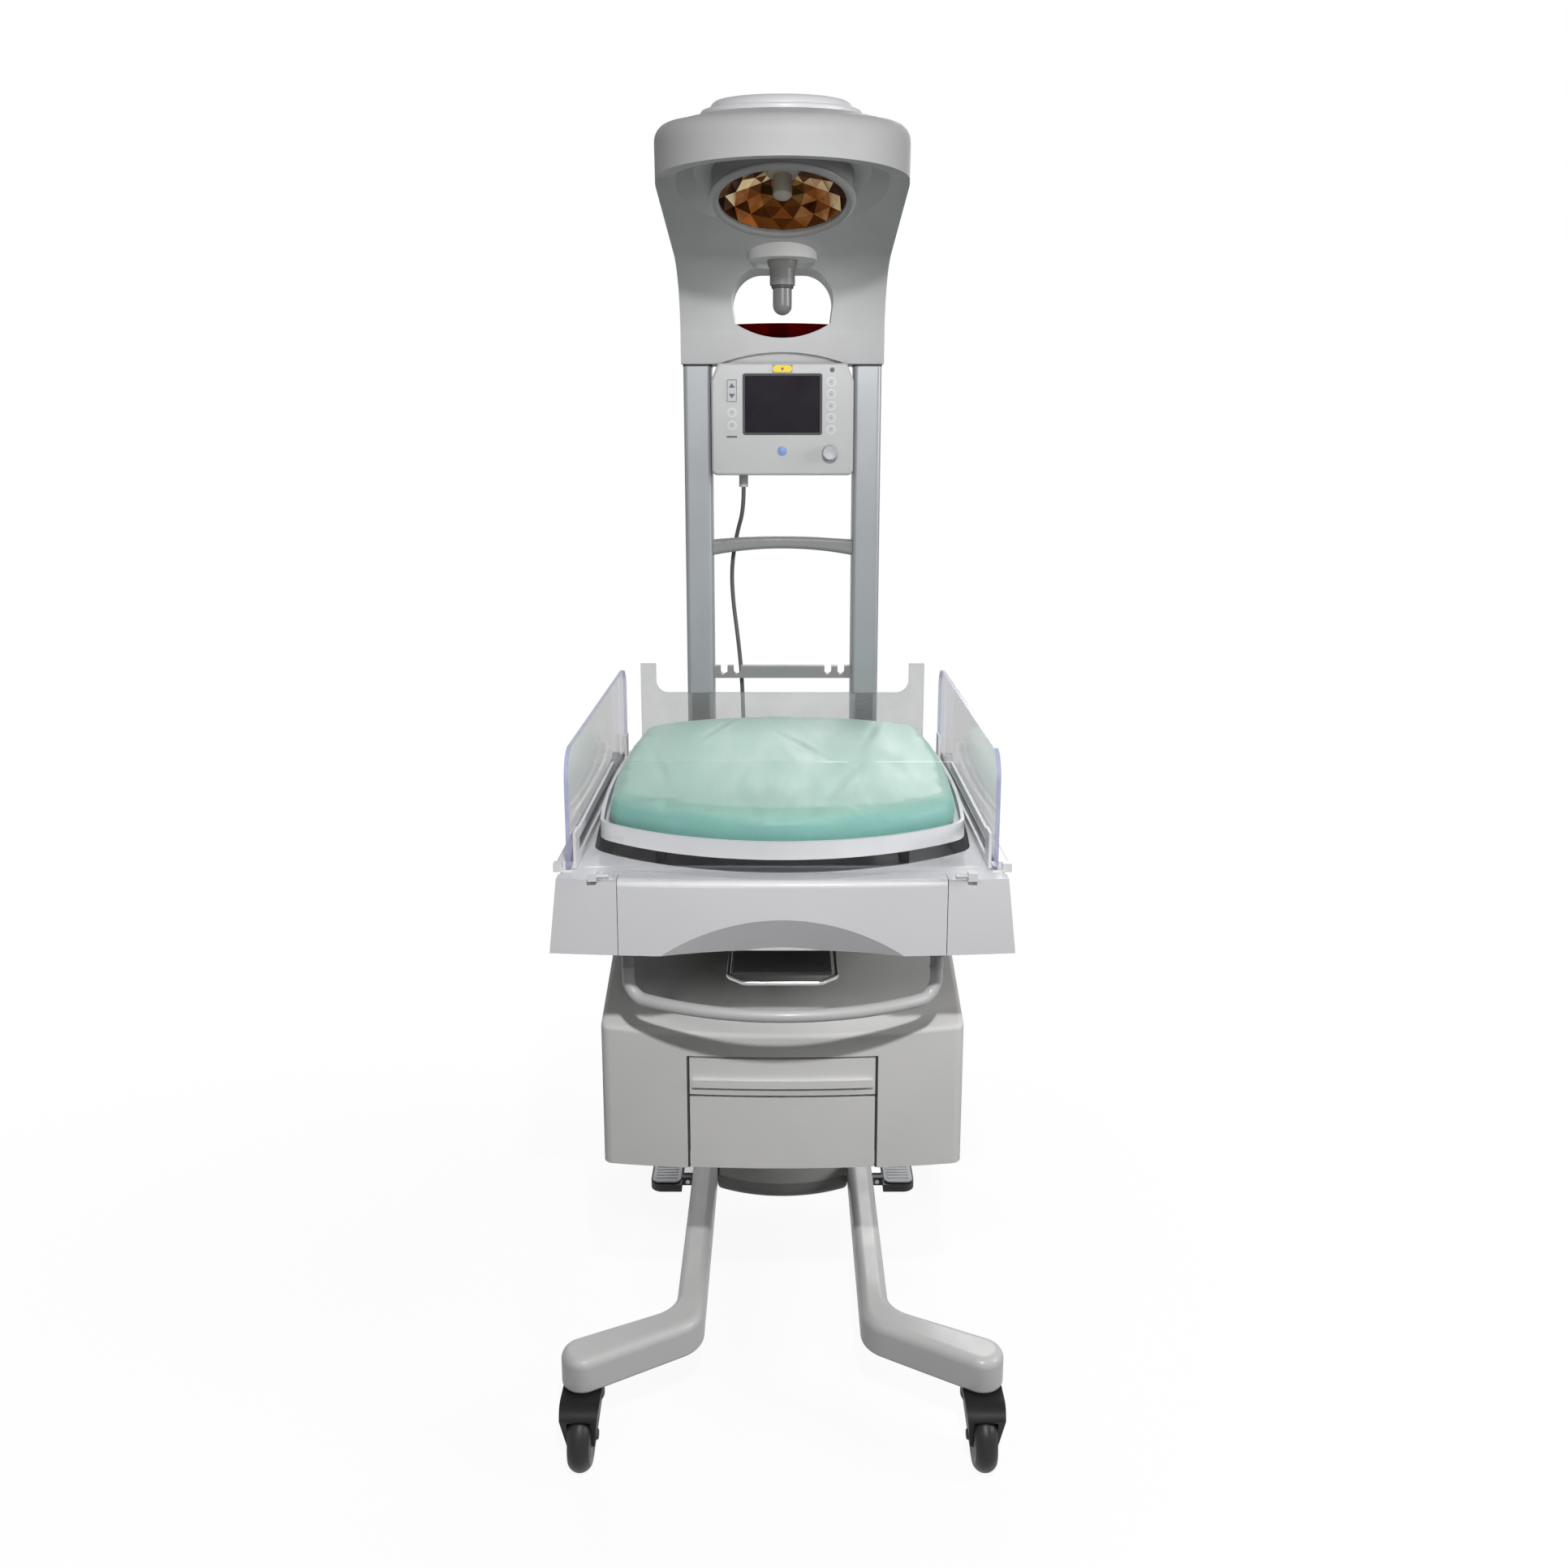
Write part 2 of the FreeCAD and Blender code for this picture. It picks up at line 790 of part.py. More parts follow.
def build_leg(label, side):
    """One bent leg: a straight rail whose ends splay out to the round feet, with the swivel stems."""
    inner = side * (S.leg_centre - S.leg_width / 2)
    outer = side * (S.leg_centre + S.leg_width / 2)
    front_inner, front_tip, front_outer = foot_points(side, -1)
    rear_inner, rear_tip, rear_outer = foot_points(side, 1)
    outline = [
        (inner, S.base_centre - S.leg_inner_bend), front_inner, front_tip, front_outer,
        (outer, S.base_centre - S.leg_outer_bend), (outer, S.base_centre + S.leg_outer_bend),
        rear_outer, rear_tip, rear_inner, (inner, S.base_centre + S.leg_inner_bend),
    ]
    leg_top = S.leg_bottom + S.leg_height
    leg = new_body(label)
    add(leg, "XY", [outline], S.leg_bottom, leg_top)
    bend_limit = value(S.leg_centre + S.leg_width)
    round_edges(leg, S.leg_bend_round, lambda edge: upright(edge) and abs(middle_of(edge).x) < bend_limit)
    round_edges(leg, S.leg_top_round, lambda edge: at_level(edge, leg_top))
    round_edges(leg, S.leg_under_round, lambda edge: at_level(edge, S.leg_bottom))
    stems = []
    for end in (-1, 1):
        centre_y = S.base_centre + end * S.wheelbase / 2
        stems.append(Circle(side * S.caster_half_track, centre_y, S.stem_diameter / 2))
    add(leg, "XY", stems, S.leg_bottom - S.stem_below_foot, S.leg_bottom + 1)
    return keep(leg)


def corners():
    """Name, X, Y and quarter turn of the four casters: the rear pair has rolled inwards."""
    result = []
    for end_name, end in (("front", -1), ("rear", 1)):
        for side_name, side in (("left", -1), ("right", 1)):
            y = S.base_centre + end * S.wheelbase / 2
            quarter = -side if end > 0 else 0
            result.append((f"{end_name}_{side_name}", side * S.caster_half_track, y, quarter))
    return result


def build_caster(corner, x, y, quarter):
    """One swivel housing with its axle, and its wheel, turned about the stem."""
    wheel_radius = S.wheel_diameter / 2
    top = S.leg_bottom - S.swivel_gap
    slot = S.wheel_width / 2 + S.wheel_side_gap
    wheel_y = -S.caster_trail
    crown = wheel_radius + S.wheel_crown_gap
    housing = new_body(f"caster_{corner}")
    rear = S.caster_hub_radius - S.fork_foot_wall
    brow_y = wheel_y - S.fork_brow_reach
    brow_z = wheel_radius + S.fork_brow_height
    cheek = [
        (rear, top), (rear, top - S.caster_hub_height), (wheel_y + S.fork_arm,
                                                         wheel_radius - S.axle_diameter / 2),
        Via(wheel_y, wheel_radius - S.fork_toe), (wheel_y - S.fork_arm, wheel_radius - S.axle_diameter / 2),
        (brow_y, brow_z), Via(brow_y + S.axle_diameter, (brow_z + top * 2) / 3),
        (wheel_y - S.axle_diameter / 2, top),
    ]
    add(housing, "YZ", [cheek], -slot - S.fork_wall, slot + S.fork_wall)
    outer = slot + S.fork_wall
    foot = slot + S.fork_foot_wall
    low = wheel_radius - S.fork_toe - 1
    for side in (-1, 1):
        flank = [(side * outer, top), (side * foot, low), (side * (outer + 1), low),
                 (side * (outer + 1), top)]
        cut(housing, "XZ", [flank], wheel_y - crown * 2, S.caster_hub_radius)
    add(housing, "XY", [Circle(0, 0, S.caster_hub_radius)], top - S.caster_hub_height, top)
    cut(housing, "YZ", [Circle(wheel_y, wheel_radius, crown)], -slot, slot)
    add(housing, "YZ", [Circle(wheel_y, wheel_radius, S.axle_diameter / 2)], -slot - 1, slot + 1)
    bore = Circle(0, 0, S.stem_diameter / 2 + S.running_gap)
    cut(housing, "XY", [bore], top - S.stem_below_foot - 1, top)
    swivel = Rotation(Vector(0, 0, 1), 90 * quarter)
    put(housing, x, y, 0, swivel)
    keep(housing)

    hole = S.axle_diameter / 2 + S.running_gap
    tread = wheel_radius - S.wheel_shoulder
    half = S.wheel_width / 2
    wheel = turned(f"wheel_{corner}", [(hole, -half), (tread, -half), Via(wheel_radius, 0), (tread, half),
                                       (hole, half)])
    aside = wheel_y * -quarter
    along = wheel_y * (1 - abs(quarter))
    put(wheel, x + aside, y + along, wheel_radius, swivel * Rotation(Vector(0, 1, 0), 90))
    keep(wheel)


def bowed_box(half_width, front, bow, rear):
    """A plan outline with a bowed front."""
    return [(-half_width, rear), (half_width, rear), (half_width, front), Via(0, front - bow),
            (-half_width, front)]


def build_lift_base():
    """Base pan with the fixed tube of the actuator, and the bowed shroud with its guide collar."""
    leg_gap = S.leg_centre - S.leg_width / 2
    pan = new_body("base_pan")
    add(pan, "XY", [bowed_box(leg_gap, S.shroud_front, S.shroud_bow, S.shroud_rear)], S.pan_bottom, S.pan_top)
    round_edges(pan, S.pan_under_round, lambda edge: at_level(edge, S.pan_bottom))
    middle = (S.mast_front + S.mast_rear) / 2
    rings = [Circle(0, middle, S.actuator_radius), Circle(0, middle, S.rod_radius + S.rod_gap)]
    add(pan, "XY", rings, S.pan_top - 1, S.actuator_top)
    keep(pan)

    half = leg_gap - S.shroud_gap
    outside = bowed_box(half, S.shroud_front, S.shroud_bow, S.shroud_rear)
    inside = bowed_box(half - S.shroud_wall, S.shroud_front + S.shroud_wall, S.shroud_bow,
                       S.shroud_rear - S.shroud_wall)
    shroud = new_body("lift_shroud")
    add(shroud, "XY", [outside, inside], S.pan_top, S.shroud_top)
    opening = rectangle(-S.mast_half_width - S.guide_gap, S.mast_half_width + S.guide_gap,
                        S.mast_front - S.guide_gap, S.mast_rear + S.guide_gap)
    add(shroud, "XY", [outside, opening], S.shroud_top - S.guide_height, S.shroud_top)
    keep(shroud)


def build_pedals():
    """Two foot pedals outside the legs, each on a bracket with a pin."""
    brackets = []
    for name, side in (("left", -1), ("right", 1)):
        leg_face = S.leg_centre + S.leg_width / 2
        pin_x = leg_face + S.pedal_pin_out
        half = S.pedal_bracket_length / 2
        low = S.pedal_pin_height - S.pedal_bracket_height / 2
        bracket = new_body(f"pedal_bracket_{name}")
        bracket_span = (side * leg_face, side * (leg_face + S.pedal_bracket_out))
        add(bracket, "XY", [rectangle(*bracket_span, S.pedal_middle - half, S.pedal_middle + half)], low,
            low + S.pedal_bracket_height)
        pin = Circle(side * pin_x, S.pedal_pin_height, S.pedal_pin_radius)
        add(bracket, "XZ", [pin], S.pedal_middle - S.pedal_pin_length / 2,
            S.pedal_middle + S.pedal_pin_length / 2)
        brackets.append(bracket)

        plate_low = S.pedal_pin_height - S.pedal_ear_size / 2
        near = pin_x + S.pedal_root
        pedal = new_body(f"pedal_{name}")
        plate = rectangle(side * near, side * (pin_x + S.pedal_reach), S.pedal_middle - S.pedal_length / 2,
                          S.pedal_middle + S.pedal_length / 2)
        add(pedal, "XY", [plate], plate_low, plate_low + S.pedal_thickness)
        limit = value(near) + 1
        round_edges(pedal, S.pedal_round, lambda edge: upright(edge) and abs(middle_of(edge).x) > limit)
        for end in (-1, 1):
            inside = S.pedal_middle + end * (half + S.pedal_ear_gap)
            outside = inside + end * S.pedal_ear_width
            ear_half = S.pedal_ear_size / 2
            ear = rectangle(side * (pin_x - ear_half), side * (near + 2), S.pedal_pin_height - ear_half,
                            S.pedal_pin_height + ear_half)
            add(pedal, "XZ", [ear], inside if end > 0 else outside, outside if end > 0 else inside)
        bore = Circle(side * pin_x, S.pedal_pin_height, S.pedal_pin_radius + S.running_gap)
        cut(pedal, "XZ", [bore], S.pedal_middle - S.pedal_length, S.pedal_middle + S.pedal_length)
        keep(pedal)
    group("pedal_brackets", brackets)


# Lifted frame, cabinet, drawers and tray

def build_lift_frame():
    """The sliding mast with the bracket that carries the cabinet, the actuator rod and the chassis plate."""
    chassis_bottom = S.bed_bottom - S.chassis_thickness
    mast = new_body("lift_mast")
    outside = rectangle(-S.mast_half_width, S.mast_half_width, S.mast_front, S.mast_rear)
    inside = rectangle(S.mast_wall - S.mast_half_width, S.mast_half_width - S.mast_wall,
                       S.mast_front + S.mast_wall,
                       S.mast_rear - S.mast_wall)
    add(mast, "XY", [outside, inside], S.mast_bottom, chassis_bottom)
    half = S.cabinet_bracket_half_width
    add(mast, "XY", [rectangle(-half, half, S.cabinet_rear, S.mast_front + 1)], S.cabinet_bracket_bottom,
        S.cabinet_top)
    keep(mast)
    piston = rod("actuator_rod", S.rod_radius, chassis_bottom - S.rod_bottom)
    keep(put(piston, 0, (S.mast_front + S.mast_rear) / 2, S.rod_bottom))
    keep(block("bed_chassis", (-S.chassis_half_width, S.chassis_half_width),
               (S.chassis_front, S.chassis_rear),
               (chassis_bottom, S.bed_bottom)))


def cabinet_front_at(x):
    """The bowed front of the cabinet at a distance from its middle."""
    share = as_size(x) / S.cabinet_half_width
    return S.cabinet_front - S.cabinet_bow + S.cabinet_bow * share * share


def build_cabinet():
    """Bow-fronted shell with a sloping top, a drawer well in the middle and hollow sides, open below."""
    slope = (S.cabinet_top - S.cabinet_front_top) / (S.cabinet_slope_end - S.cabinet_front)
    beyond = S.cabinet_front - S.cabinet_bow * 2
    shell = new_body("cabinet_shell")
    add(shell, "XY", [bowed_box(S.cabinet_half_width, S.cabinet_front, S.cabinet_bow, S.cabinet_rear)],
        S.cabinet_bottom, S.cabinet_top)
    above = S.cabinet_top + S.cabinet_bow
    wedge = [(beyond, S.cabinet_front_top + (beyond - S.cabinet_front) * slope),
             (S.cabinet_slope_end, S.cabinet_top),
             (S.cabinet_slope_end, above), (beyond, above)]
    cut(shell, "YZ", [wedge], -S.cabinet_half_width - 1, S.cabinet_half_width + 1)
    front_limit = value(S.cabinet_front) + 1
    round_edges(shell, S.cabinet_corner_round, lambda edge: upright(edge) and middle_of(edge).y < front_limit)
    round_edges(shell, S.cabinet_edge_round, lambda edge: edge.BoundBox.YMax < front_limit
                and edge.BoundBox.XLength > 100 and edge.BoundBox.ZMin > value(S.cabinet_bottom) + 50)
    opening = S.drawer_half_width + S.drawer_gap
    cut(shell, "XY", [rectangle(-opening, opening, beyond, S.cabinet_rear - S.cabinet_wall)],
        S.cabinet_bottom - 1, S.upper_drawer_top + S.drawer_gap)
    rear = S.cabinet_rear - S.cabinet_wall
    front_roof = S.cabinet_front_top - S.cabinet_wall * 3
    rear_roof = S.cabinet_top - S.cabinet_wall
    for side in (-1, 1):
        near = side * (opening + S.cabinet_wall)
        far = side * (S.cabinet_half_width - S.cabinet_wall)
        cut(shell, "XY", [rectangle(near, far, S.cabinet_front + S.cabinet_corner_round, rear)],
            S.cabinet_bottom - 1, front_roof)
        cut(shell, "XY", [rectangle(near, far, S.cabinet_slope_end, rear)], front_roof - 1, rear_roof)
    cut(shell, "XY", [rectangle(-opening, opening, S.cabinet_slope_end, rear)], S.upper_drawer_top, rear_roof)
    keep(shell)


def drawer_plan(half_width, back, reach=0):
    """Plan of a drawer front that follows the bow of the cabinet."""
    edge = cabinet_front_at(half_width) - reach
    return [(-half_width, back), (half_width, back), (half_width, edge), Via(0, cabinet_front_at(0) - reach),
            (-half_width, edge)]


def build_drawers():
    """Shallow upper drawer with a pull ridge, deep lower drawer, and the ledges they run on."""
    half = S.drawer_half_width
    behind_front = S.cabinet_front + S.drawer_front_wall
    inside = rectangle(S.drawer_wall - half, half - S.drawer_wall, behind_front,
                       S.drawer_back - S.drawer_wall)
    upper = new_body("upper_drawer")
    add(upper, "XY", [drawer_plan(half, S.drawer_back)], S.upper_drawer_bottom, S.upper_drawer_top)
    add(upper, "XY", [drawer_plan(half - S.drawer_wall, behind_front, S.ridge_reach)], S.ridge_bottom,
        S.ridge_bottom + S.ridge_height)
    cut(upper, "XY", [inside], S.upper_drawer_bottom + S.drawer_wall, S.upper_drawer_top + 1)
    keep(upper)

    lower = new_body("lower_drawer")
    add(lower, "XY", [drawer_plan(half, behind_front)], S.lower_drawer_lip, S.lower_drawer_top)
    add(lower, "XY", [rectangle(-half, half, behind_front - 1, S.drawer_back)], S.lower_drawer_floor,
        S.lower_drawer_top)
    cut(lower, "XY", [inside], S.lower_drawer_floor + S.drawer_wall, S.lower_drawer_top + 1)
    keep(lower)

    ledges = []
    wall = half + S.drawer_gap
    for side in (-1, 1):
        for name, bottom in (("upper", S.upper_drawer_bottom), ("lower", S.lower_drawer_floor)):
            top = bottom - S.runner_gap
            span = (side * (wall - S.runner_width), side * wall)
            reach = (behind_front + S.drawer_front_wall, S.cabinet_rear - S.cabinet_wall)
            label = f"{name}_ledge_{'left' if side < 0 else 'right'}"
            ledges.append(block(label, span, reach, (top - S.runner_thickness, top)))
    return ledges


def build_tray():
    """Pull-out tray with a tongue, its bent wire handle and the hangers it slides in."""
    tray_top = S.tray_bottom + S.tray_thickness
    tray = new_body("pull_tray")
    outline = [(-S.tray_half_width, S.tray_front), (-S.tongue_half_width, S.tray_front),
               (-S.tongue_half_width, S.tongue_front), (S.tongue_half_width, S.tongue_front),
               (S.tongue_half_width, S.tray_front), (S.tray_half_width, S.tray_front),
               (S.tray_half_width, S.tray_rear), (-S.tray_half_width, S.tray_rear)]
    add(tray, "XY", [outline], S.tray_bottom, tray_top)
    keep(tray)

    level = value(S.tray_bottom + S.tray_thickness / 2)
    half = value(S.wire_half_width)
    corner = value(S.wire_corner)
    front = value(S.wire_front)
    route = [Vector(-half, value(S.tray_front), level), Vector(-half, front + corner, level),
             Vector(corner - half, front, level), Vector(half - corner, front, level),
             Vector(half, front + corner, level), Vector(half, value(S.tray_front), level)]
    keep(free_form("tray_handle", tube_along(route, value(S.wire_radius), bend=value(S.wire_corner) * 0.45)))

    hangers = []
    chassis_bottom = S.bed_bottom - S.chassis_thickness
    ledge_top = S.tray_bottom - S.runner_gap
    inner = S.tray_half_width + S.hanger_gap
    for name, side in (("left", -1), ("right", 1)):
        hanger = new_body(f"tray_hanger_{name}")
        profile = [(side * (inner - S.hanger_ledge), ledge_top - S.runner_thickness),
                   (side * (inner + S.hanger_wall), ledge_top - S.runner_thickness),
                   (side * (inner + S.hanger_wall), chassis_bottom), (side * inner, chassis_bottom),
                   (side * inner, ledge_top), (side * (inner - S.hanger_ledge), ledge_top)]
        hangers.append(add(hanger, "XZ", [profile], S.tray_front, S.tray_rear))
    return hangers


def tube_along(route, radius, bend=None):
    """A round tube along straight runs joined by tangent arcs."""
    edges = []
    start = route[0]
    for number in range(1, len(route) - 1):
        corner = route[number]
        into = (corner - route[number - 1]).normalize()
        out = (route[number + 1] - corner).normalize()
        turn = into.getAngle(out)
        shorter = min((corner - route[number - 1]).Length, (route[number + 1] - corner).Length)
        arc_radius = bend if bend else 0.45 * shorter / math.tan(turn / 2)
        reach = arc_radius * math.tan(turn / 2)
        first = corner - into * reach
        last = corner + out * reach
        inward = (out - into).normalize()
        middle = corner + inward * (arc_radius / math.cos(turn / 2) - arc_radius)
        if (first - start).Length > 1e-6:
            edges.append(Part.LineSegment(start, first).toShape())
        edges.append(Part.Arc(first, middle, last).toShape())
        start = last
    edges.append(Part.LineSegment(start, route[-1]).toShape())
    path = Part.Wire(edges)
    section = Part.Wire(Part.Circle(route[0], route[1] - route[0], radius).toShape())
    tube = path.makePipeShell([section], True, True)
    expected = math.pi * radius ** 2 * path.Length
    if abs(tube.Volume - expected) > 0.02 * expected:
        raise RuntimeError("a tube's volume is not its section times its length")
    return tube


def build_push_rail():
    """Bowed rail on two posts under the bed, as one bent tube."""
    half = value(S.rail_half_width)
    end = value(S.rail_end)
    level = value(S.rail_height)
    elbow = value(S.rail_elbow)
    reach = value(S.rail_reach)
    bow_radius = (half ** 2 + reach ** 2) / (2 * reach)
    slant = math.asin(half / bow_radius)
    left_out = Vector(math.cos(slant), -math.sin(slant), 0)
    right_out = Vector(-math.cos(slant), -math.sin(slant), 0)
    edges = []
    left_end = Vector(-half, end, level)
    right_end = Vector(half, end, level)
    left_post = left_end - left_out * elbow
    right_post = right_end - right_out * elbow
    ease = elbow * (1 - math.sqrt(0.5))
    up = Vector(0, 0, elbow)
    lift = Vector(0, 0, ease)
    edges.append(Part.LineSegment(Vector(left_post.x, left_post.y, value(S.bed_bottom)),
                                  left_post + up).toShape())
    edges.append(Part.Arc(left_post + up, left_post + left_out * ease + lift, left_end).toShape())
    edges.append(Part.Arc(left_end, Vector(0, end - reach, level), right_end).toShape())
    edges.append(Part.Arc(right_end, right_post + right_out * ease + lift, right_post + up).toShape())
    edges.append(Part.LineSegment(right_post + up, Vector(right_post.x, right_post.y,
                                                          value(S.bed_bottom))).toShape())
    path = Part.Wire(edges)
    top = Vector(left_post.x, left_post.y, value(S.bed_bottom))
    section = Part.Wire(Part.Circle(top, Vector(0, 0, -1), value(S.rail_radius)).toShape())
    keep(free_form("push_rail", path.makePipeShell([section], True, True)))


# Bed

def bed_front_at(x):
    """The bowed front of the bed at a distance from its middle."""
    share = as_size(x) / S.bed_half_width
    return S.bed_front - S.bed_bow + S.bed_bow * share * share


def couch_outline(margin):
    """Plan of the mattress, widened by a margin: bowed ends and gently bowed sides."""
    wide = S.mattress_half_width + margin
    front_wide = S.mattress_front_half_width + margin
    rear_wide = S.mattress_rear_half_width + margin
    front_y = S.mattress_front_corner - margin / 2
    rear_y = S.mattress_rear_corner + margin / 2
    return [(-front_wide, front_y), Via(0, S.mattress_front - margin), (front_wide, front_y),
            Via(wide, S.tilt_axis_y),
            (rear_wide, rear_y), Via(0, S.mattress_rear + margin), (-rear_wide, rear_y),
            Via(-wide, S.tilt_axis_y)]


def build_bed_base():
    """Moulded bed base with the well that the deck tilts in, its fascia and corner caps."""
    top_half = S.bed_half_width - S.bed_side_draft
    base = new_body("bed_base")
    section = [(-S.bed_half_width, S.bed_bottom), (S.bed_half_width, S.bed_bottom), (top_half, S.bed_top),
               (-top_half, S.bed_top)]
    add(base, "XZ", [section], S.fascia_back, S.column_front)
    limit = value(top_half) - 1
    round_edges(base, S.bed_edge_round, lambda edge: at_level(edge,
                                                              S.bed_top) and abs(middle_of(edge).x) > limit)
    cut(base, "XY", [couch_outline(S.deck_margin + S.well_gap)], S.bed_bottom + S.well_floor, S.bed_top + 1)
    depth = value(S.bed_top - S.bed_bottom - S.well_floor)
    round_edges(base, S.mattress_corner_round, lambda edge: upright(edge) and abs(edge.Length - depth) < 0.01)
    keep(base)

    seam = S.cap_seam - S.seam_gap / 2
    fascia = new_body("front_fascia")
    edge = bed_front_at(seam)
    add(fascia, "XY", [[(-seam, S.fascia_back), (seam, S.fascia_back), (seam, edge), Via(0, bed_front_at(0)),
                        (-seam, edge)]], S.bed_bottom, S.bed_top)
    front_edge = value(S.bed_front)
    round_edges(fascia, S.bed_edge_round, lambda edge: at_level(edge,
                                                         S.bed_top) and edge.BoundBox.YMax < front_edge - 1)
    scoop = new_scoop()
    fascia_cut = doc.addObject("Part::Cut", "front_fascia_scooped")
    fascia_cut.Base = fascia
    fascia_cut.Tool = scoop
    fascia_cut.Label = "bed_fascia"
    keep(fascia_cut)

    caps = []
    for name, side in (("left", -1), ("right", 1)):
        near = side * (S.cap_seam + S.seam_gap / 2)
        far = side * S.bed_half_width
        middle = (S.cap_seam + S.bed_half_width) / 2
        cap = new_body(f"corner_cap_{name}")
        plan = [(near, S.fascia_back), (far, S.fascia_back), (far, bed_front_at(S.bed_half_width)),
                Via(side * middle, bed_front_at(middle)), (near, bed_front_at(S.cap_seam))]
        add(cap, "XY", [plan], S.bed_bottom, S.bed_top)
        outside = side * (S.bed_half_width + 1)
        wedge = [(far, S.bed_bottom), (outside, S.bed_bottom), (outside, S.bed_top + 1),
                 (side * top_half, S.bed_top + 1), (side * top_half, S.bed_top)]
        cut(cap, "XZ", [wedge], S.bed_front - S.bed_bow, S.fascia_back)
        caps.append(cap)
    group("corner_caps", caps)


def new_scoop():
    """The arched finger scoop under the fascia, running back and down from its front face."""
    front = value(bed_front_at(0)) - 1
    low = value(S.bed_bottom)
    half = value(S.arch_half_width)
    rise = value(S.arch_rise)
    depth = value(S.arch_depth)
    fall = rise * 0.92
    outline = [(-half, low), Via(0, low + rise), (half, low), (half, low - rise), (-half, low - rise)]
    solid = prism(outline, lambda x, z: Vector(x, front, z), Vector(0, depth, -fall))
    return free_form("fascia_scoop", solid)


def build_deck():
    """Tilting deck with its lip and lugs, and the shaft it turns on, in brackets on the well floor."""
    deck = new_body("mattress_deck")
    lip_top = S.deck_bottom + S.deck_lip
    add(deck, "XY", [couch_outline(S.deck_margin)], S.deck_bottom, lip_top)
    round_edges(deck, S.mattress_corner_round, upright)
    cut(deck, "XY", [couch_outline(S.deck_margin - S.deck_wall)], S.deck_bottom + S.deck_floor, lip_top + 1)
    inside = value(S.deck_lip - S.deck_floor)
    round_edges(deck, S.mattress_corner_round - S.deck_wall,
                lambda edge: upright(edge) and abs(edge.Length - inside) < 0.01)
    lug_low = S.tilt_axis_z - S.tilt_lug_below
    for side in (-1, 1):
        lug = rectangle(side * S.tilt_lug_x, side * (S.tilt_lug_x + S.tilt_bracket_width),
                        S.tilt_axis_y - S.tilt_lug_half_length, S.tilt_axis_y + S.tilt_lug_half_length)
        add(deck, "XY", [lug], lug_low, S.deck_bottom + 1)
    reach = S.tilt_lug_x + S.tilt_bracket_width + 1
    bore = Circle(S.tilt_axis_y, S.tilt_axis_z, S.tilt_shaft_radius + S.running_gap)
    cut(deck, "YZ", [bore], -reach, reach)
    keep(deck)

    pivot = new_body("tilt_pivot")
    half = S.tilt_shaft_half_length
    add(pivot, "YZ", [Circle(S.tilt_axis_y, S.tilt_axis_z, S.tilt_shaft_radius)], -half, half)
    for side in (-1, 1):
        span = (side * S.tilt_bracket_x, side * (S.tilt_bracket_x + S.tilt_bracket_width))
        plan = rectangle(*span, S.tilt_axis_y - S.tilt_bracket_half_length,
                         S.tilt_axis_y + S.tilt_bracket_half_length)
        add(pivot, "XY", [plan], S.bed_bottom + S.well_floor, S.tilt_axis_z + S.tilt_bracket_cover)
    keep(pivot)


def build_mattress():
    """Crowned mattress with drawn-in sides, lofted through its plan at rising levels."""
    bottom = value(S.deck_bottom + S.deck_floor)
    height = value(S.mattress_height)
    crown = value(S.mattress_crown)
    tuck = value(S.mattress_tuck)
    half = value(S.mattress_half_width)
    plan = prism(couch_outline(0 * S.deck_margin), lambda x, y: Vector(x, y, 0), Vector(0, 0, height))
    plan = plan.makeFillet(value(S.mattress_corner_round), [edge for edge in plan.Edges if upright(edge)])
    rim = [face for face in plan.Faces if face.BoundBox.ZMax < 0.001][0].OuterWire
    levels = [
        (0, tuck), (height * 0.12, tuck * 0.4), (height * 0.4, 0), (height * 0.66, tuck * 0.2),
        (height * 0.82, tuck * 0.9),
        (height * 0.93, tuck * 2), (height, tuck * 4), (height + crown * 0.5, tuck * 12),
        (height + crown * 0.85, tuck * 24),
        (height + crown, tuck * 38),
    ]
    centre = Vector(0, value(S.tilt_axis_y), 0)
    wires = []
    for level, inset in levels:
        wire = rim.copy()
        wire.scale(1 - inset / half, centre)
        wire.translate(Vector(0, 0, bottom + level))
        wires.append(wire)
    keep(free_form("mattress", Part.makeLoft(wires, True, True)))


# Clear panels

